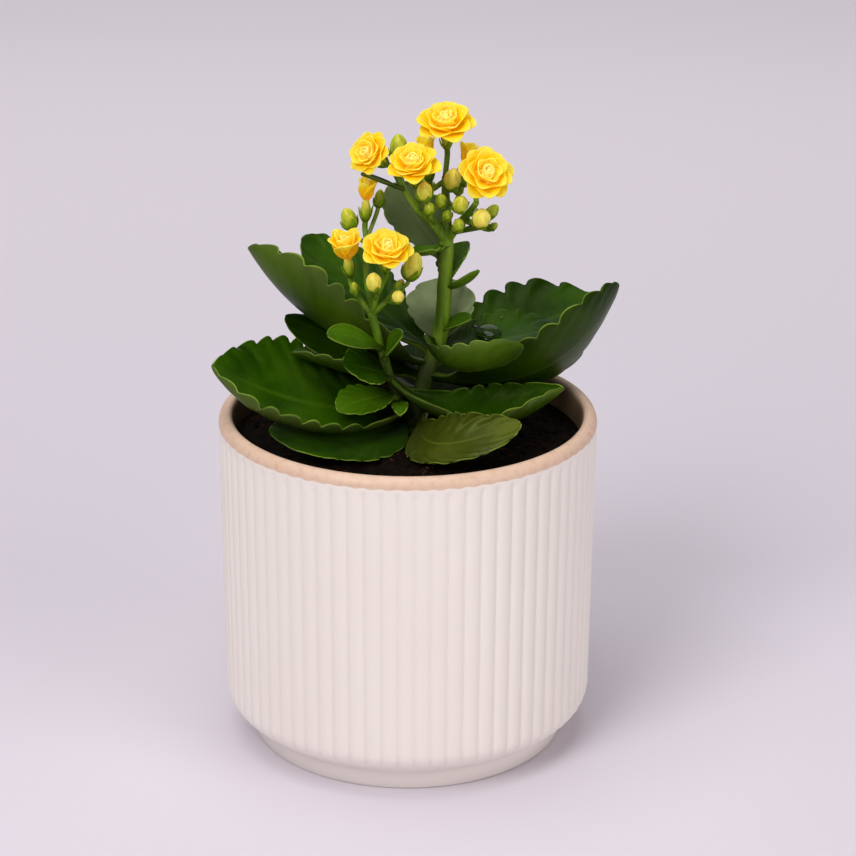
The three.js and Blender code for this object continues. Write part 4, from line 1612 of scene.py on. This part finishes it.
def add_sepals(
    bm: BMesh, foot: Vector, axis: Vector, radius: float, length: float, flare: float, count: int = 4
) -> None:
    """Adds pointed sepals that hug a bud or a flower's tube.

    Args:
        bm: the mesh, with a UV layer.
        foot: where they start.
        axis: the bud's direction.
        radius: how far out they bulge.
        length: how long they are.
        flare: how far their tips bend outwards.
        count: how many there are.
    """
    for index in range(count):
        turn = math.tau * (index + 0.3) / count
        outwards, sideways = directions(turn)

        def shape(along: float, across: float) -> Vector:
            """The sepal's surface.

            Args:
                along: the place along the sepal, from 0 to 1.
                across: the place across it, from -1 to 1.

            Returns:
                The place, in millimetres.
            """
            bulge = math.sin(math.pi * min(along * 0.75 + 0.05, 0.5))
            reach = radius * (0.35 + 0.72 * bulge + flare * along**2)
            belly = math.sin(math.pi * min(along * 1.6, 1.0))
            half = radius * 0.62 * (1 - along) ** 0.55 * (0.55 + 0.45 * belly)
            inwards = outwards * (-half * across * across * 0.5)
            return outwards * reach + sideways * (half * across) + UP * (along * length) + inwards

        made = add_sheet(bm, 6, 4, shape)
        bmesh.ops.transform(bm, matrix=standing(axis, foot), verts=made)


@dataclass
class FlowerHead:
    """The branches, stalks, calyxes and buds at the top of a stem."""

    name: str
    stem: Stem
    branches: Sequence[tuple[Sequence[Point], tuple[float, float]]]
    buds: Sequence[Bud]
    flowers: Sequence[Flower]

    def branch_point(self, branch: int, at: float) -> Vector:
        """The place where a stalk leaves its branch."""
        return SmoothLine(self.branches[branch][0]).at(at)

    def bud_axis(self, bud: Bud) -> Vector:
        """Where a bud points: away from its branch, and up."""
        away = (Vector(bud.centre) - self.branch_point(bud.branch, bud.at)).normalized()
        return (away + UP).normalized()

    def bud_base(self, bud: Bud) -> Vector:
        """The place where a bud starts."""
        return Vector(bud.centre) - self.bud_axis(bud) * (bud.length / 2)

    def add_bud(self, bm: BMesh, bud: Bud) -> None:
        """Adds a bud: an egg whose closed petals overlap in a spiral.

        Args:
            bm: the mesh, with a number for ripeness.
            bud: the bud.
        """
        radius = bud.width / 2
        outline = [(0.0, 0.0), (0.55, 0.05), (0.8, 0.14), (0.96, 0.3), (1.0, 0.45), (0.93, 0.62)]
        outline += [(0.76, 0.78), (0.5, 0.9), (0.22, 0.975), (0.0, 1.0)]
        made = add_turned(bm, [(r * radius, h * bud.length) for r, h in outline], 40)
        layer = bm.verts.layers.float["ripe"]
        for vert in made:
            share = vert.co.z / bud.length
            place = (math.atan2(vert.co.y, vert.co.x) / math.tau * 4 + share * 0.9) % 1.0
            groove = (1 - place) ** 2 * smooth(share, 0.1, 0.55)
            vert.co.xy *= 1 - 0.14 * groove
            # The drop of ripeness in the grooves between the overlapping petals is painted shade.
            vert[layer] = bud.ripe * 0.75 + 0.4 * share - 0.1 + 0.1 * place - 0.25 * groove**3
        face_outwards(bm, made)
        bmesh.ops.transform(bm, matrix=standing(self.bud_axis(bud), self.bud_base(bud)), verts=made)

    @staticmethod
    def add_stalk(bm: BMesh, points: Sequence[Vector], radii: Span, sides: int, steps: int) -> None:
        """Adds a stalk through points, whose radius changes evenly from its foot to its top."""
        add_tube(bm, SmoothLine(points), lambda share: lerp(*radii, share), sides, steps)

    def build(self, node: str) -> None:
        """Builds the stem with its branches and stalks, then the buds, tubes and sepals.

        Args:
            node: the solid that the green parts stand for.
        """
        green = new_mesh()
        self.stem.add_to(green)
        for path, radii in self.branches:
            self.add_stalk(green, path, radii, 14, 20)
        skins = new_mesh("ripe")
        sepals = new_mesh()
        for bud in self.buds:
            axis = self.bud_axis(bud)
            base = self.bud_base(bud)
            start = self.branch_point(bud.branch, bud.at)
            points = [start, base - axis * (bud.length * 0.2), base + axis * 0.5]
            self.add_stalk(green, points, (0.62, 0.7), 8, 10)
            self.add_bud(skins, bud)
            add_sepals(sepals, base - axis * 0.25, axis, bud.width / 2 * 1.08, bud.length * 0.55, 0.05)
        for flower in self.flowers:
            axis = flower.axis
            start = self.branch_point(flower.branch, flower.at)
            points = [start, flower.foot - axis * 2, flower.foot + axis * 1.2]
            self.add_stalk(green, points, (0.85, 0.95), 10, 12)
            flower.add_tube_to(skins)
            add_sepals(sepals, flower.foot + axis * 0.4, axis, 1.9, 5.4, 0.25)
        to_piece(green, f"{self.name}_stem_green", [STEM_FINISH], node)
        to_piece(skins, f"{self.name}_buds", [BUD_FINISH])
        thicken(to_piece(sepals, f"{self.name}_sepals", [SEPAL_FINISH]), 0.35)
        for index, flower in enumerate(self.flowers):
            flower.build(index + (10 if self.name == "side" else 0))


TALL_HEAD = FlowerHead(
    "main",
    MAIN_STEM,
    [
        ([(12, 8, 161), (11.8, 7, 170), (11.5, 5, 178), (11.3, 4, 184)], (2, 1.1)),
        ([(12, 8, 162.5), (8, 5, 168.5), (3.5, 2, 173.5), (-2, 1, 181.5)], (1.8, 0.9)),
        ([(12, 8, 162.5), (15, 5.5, 167.5), (18.5, 3, 172.5), (21, 0, 177)], (1.7, 0.9)),
    ],
    [
        Bud((13.5, -3, 185.5), 8.5, 5.6, 0, 0.95, 0.75),
        Bud((5, -9.5, 183.5), 6.5, 5, 1, 0.45, 0.6),
        Bud((10, -6, 179.5), 5.5, 3.9, 0, 0.6, 0.15),
        Bud((16, -8, 179), 6.2, 5, 0, 0.7, 0.4),
        Bud((22.5, -6, 174), 6.5, 6, 2, 0.6, 0.9),
        Bud((26, 1, 174), 5.2, 3.8, 2, 0.7, 0.1),
        Bud((26.5, -1, 169.8), 3, 2.2, 2, 0.5, 0.0),
        Bud((6.5, -7.5, 177.5), 4.6, 3.2, 1, 0.3, 0.25),
        Bud((12, -4.5, 174.5), 4.4, 3.2, 0, 0.45, 0.05),
        Bud((15.5, -5, 171.5), 4.6, 3.8, 2, 0.25, 0.2),
        Bud((-3, 8, 192), 9, 6, 1, 0.95, 0.3),
        Bud((17, 14, 181), 6, 4.4, 0, 0.8, 0.3),
        Bud((5.5, 14, 179), 6, 4.4, 0, 0.7, 0.2),
    ],
    [
        Flower("top", Form.OPEN, (11.5, 2, 199), (-0.05, -0.45, 0.9), 18.5, 0, 1),
        Flower("middle", Form.OPEN, (1.8, -8, 189.2), (-0.1, -0.5, 0.86), 17, 1, 0.62),
        Flower("left", Form.OPEN, (-10.4, -2, 192), (-0.55, -0.65, 0.55), 14.5, 1, 1),
        Flower("right", Form.OPEN, (23, -5, 186), (0.25, -0.75, 0.65), 18, 2, 1),
        Flower("hidden_left", Form.CUP, (5.8, 6, 189), (-0.1, 0.3, 0.95), 8, 0, 0.95),
        Flower("hidden_right", Form.CUP, (17.6, 7, 187), (0.2, 0.4, 0.9), 8, 0, 1),
    ],
)
SHORT_HEAD = FlowerHead(
    "side",
    SIDE_STEM,
    [
        ([(-11.2, -4.9, 142), (-14.5, -6, 147), (-16.5, -7, 150)], (1, 0.8)),
        ([(-11.2, -4.9, 142), (-9.5, -8, 150)], (1.1, 0.9)),
        ([(-11.2, -4.9, 142), (-7, -7, 147), (-4, -8, 151)], (1, 0.8)),
        ([(-11.2, -4.9, 142), (-13, -2.5, 154), (-13, -1, 165)], (1.1, 0.9)),
    ],
    [
        Bud((-10.5, -13, 155.5), 6.5, 5, 1, 0.7, 0.85),
        Bud((1.5, -8, 159), 9, 6, 2, 1, 0.7),
        Bud((-3, -12, 150.5), 4, 4, 2, 0.6, 1.0),
        Bud((-2.5, -6, 152), 4.2, 3.2, 2, 0.8, 0.2),
        Bud((-16.5, -11, 153), 4, 2.6, 0, 0.8, 0.1),
        Bud((-18.5, 1, 171.5), 6.8, 5, 3, 0.95, 0.35),
        Bud((-9, 4.5, 177), 5.5, 3.4, 3, 1, 0.1),
    ],
    [
        Flower("short_front", Form.OPEN, (-6.5, -13, 163.5), (0.05, -0.5, 0.87), 17, 1, 1),
        Flower("short_left", Form.HALF, (-18.6, -7.6, 161.2), (-0.1, -0.3, 0.94), 11, 0, 1),
        Flower("short_top", Form.CUP, (-13, 0, 177.5), (0.05, -0.1, 1), 8, 3, 1),
    ],
)


# ---------------------------------------------------------------- water


@dataclass
class Drops:
    """Water drops that lie on leaves."""

    on_leaves: Sequence[tuple[str, float, float, float]]
    flatness: float = 0.42
    dewy_leaf: str = "front"
    dew: int = 60
    dew_along: Span = (0.35, 0.85)
    dew_across: Span = (0.62, 0.97)
    dew_radius: Span = (0.2, 0.45)

    def build(self) -> None:
        """Builds each drop as a low dome on its leaf's upper face."""
        leaves = {leaf.name: leaf for leaf in LEAVES}
        bm = new_mesh()
        draws = random.Random(5)
        dew = []
        for _ in range(self.dew):
            along, across = draws.uniform(*self.dew_along), -draws.uniform(*self.dew_across)
            dew.append((self.dewy_leaf, along, across, draws.uniform(*self.dew_radius)))
        for name, along, across, radius in [*self.on_leaves, *dew]:
            leaf = leaves[name]
            place, up = leaf.at(along, across)
            base = place + up * (leaf.thickness(along, across) / 2)
            matrix = standing(up, base) @ Matrix.Diagonal((1.0, 1.0, self.flatness, 1.0))
            fineness = 4 if radius > max(self.dew_radius) else 2
            bmesh.ops.create_icosphere(bm, subdivisions=fineness, radius=radius, matrix=matrix)
        to_piece(bm, "water_drops", [WATER_FINISH])


WATER_DROPS = Drops(
    [("right_middle", 0.45, 0.32, 4.4), ("right_middle", 0.38, 0.72, 1.0), ("right_middle", 0.6, 0.75, 0.8)]
)


# ---------------------------------------------------------------- studio


@dataclass
class Studio:
    """The camera, a plain pale floor and soft lamps."""

    camera_target: Point = (0.00638, 0.0, 0.10233)
    camera_distance: float = 0.9
    camera_elevation: float = 21.27
    camera_roll: float = 0.27
    lens: float = 119.03
    sensor_width: float = 36.0
    floor_radius: float = 6.0
    floor_colour: Colour = screen(220, 213, 222)
    floor_clouds: Colour = screen(217, 210, 219)
    far_colour: Colour = screen(246, 238, 246)
    far_span: Span = (0.1, 0.9)
    lamps: Sequence[tuple[str, Point, float, float, Colour]] = (
        ("key", (-0.75, -1.15, 1.3), 0.9, 17.0, (1.0, 0.99, 0.98)),
        ("fill", (1.25, -0.9, 0.65), 1.1, 8.5, (1.0, 0.985, 0.97)),
        ("top", (-0.2, -0.1, 1.8), 1.5, 14.5, (1.0, 0.99, 1.0)),
        ("back", (0.1, 1.9, 1.6), 1.6, 4.5, (1.0, 0.99, 1.0)),
    )
    sky_colour: Colour = (0.80, 0.78, 0.82)
    sky_strength: float = 0.25

    def set_camera(self) -> None:
        """Places the camera at the photograph's viewpoint."""
        tilt = math.radians(self.camera_elevation)
        roll = math.radians(self.camera_roll)
        ahead = Vector((0.0, math.cos(tilt), -math.sin(tilt)))
        level = Vector((1.0, 0.0, 0.0))
        above = level.cross(ahead)
        right = level * math.cos(roll) + above * math.sin(roll)
        up = above * math.cos(roll) - level * math.sin(roll)
        data = bpy.data.cameras.new("camera")
        data.lens = self.lens
        data.sensor_width = self.sensor_width
        camera = bpy.data.objects.new("camera", data)
        turn = Matrix((right, up, -ahead)).transposed()
        place = Vector(self.camera_target) - ahead * self.camera_distance
        camera.matrix_world = Matrix.Translation(place) @ turn.to_4x4()
        bpy.context.scene.collection.objects.link(camera)
        bpy.context.scene.camera = camera

    def lay_floor(self) -> None:
        """Lays a plain pale floor, just below the pot."""
        bm = bmesh.new()
        bmesh.ops.create_circle(bm, cap_ends=True, segments=96, radius=self.floor_radius)
        mesh = bpy.data.meshes.new("floor")
        bm.to_mesh(mesh)
        bm.free()
        floor = bpy.data.objects.new("floor", mesh)
        graph = Graph("floor_paper")
        tint = graph.mix(graph.noise(3.0, 2.0), self.floor_colour, self.floor_clouds)
        tint = graph.mix(graph.fade(graph.axes()[1], *self.far_span), tint, self.far_colour)
        mesh.materials.append(graph.finish(Base_Color=tint, Roughness=0.9, Specular_IOR_Level=0.1))
        bpy.context.scene.collection.objects.link(floor)

    def hang_lamps(self) -> None:
        """Hangs the soft lamps, all turned to the plant, and lights the sky."""
        for name, place, size, power, colour in self.lamps:
            data = bpy.data.lights.new(name, "AREA")
            data.shape = "DISK"
            data.size = size
            data.energy = power
            data.color = colour
            lamp = bpy.data.objects.new(name, data)
            aim = Vector(self.camera_target) - Vector(place)
            lamp.matrix_world = Matrix.Translation(place) @ aim.to_track_quat("-Z", "Y").to_matrix().to_4x4()
            bpy.context.scene.collection.objects.link(lamp)
        world = bpy.data.worlds.new("sky")
        world.use_nodes = True
        background = world.node_tree.nodes["Background"]
        background.inputs["Color"].default_value = (*self.sky_colour, 1.0)
        background.inputs["Strength"].default_value = self.sky_strength
        bpy.context.scene.world = world

    def build(self) -> None:
        """Sets up the whole studio."""
        self.set_camera()
        self.lay_floor()
        self.hang_lamps()
        bpy.context.scene.view_settings.view_transform = "Standard"


def main() -> None:
    """Builds the plant, then the studio."""
    logging.basicConfig(level=logging.INFO, format="%(message)s")
    Pot().build()
    Soil().build()
    for leaf in LEAVES:
        leaf.build()
    TALL_HEAD.build("main_stem")
    SHORT_HEAD.build("side_stem")
    WATER_DROPS.build()
    Studio().build()


if __name__ == "__main__":
    main()
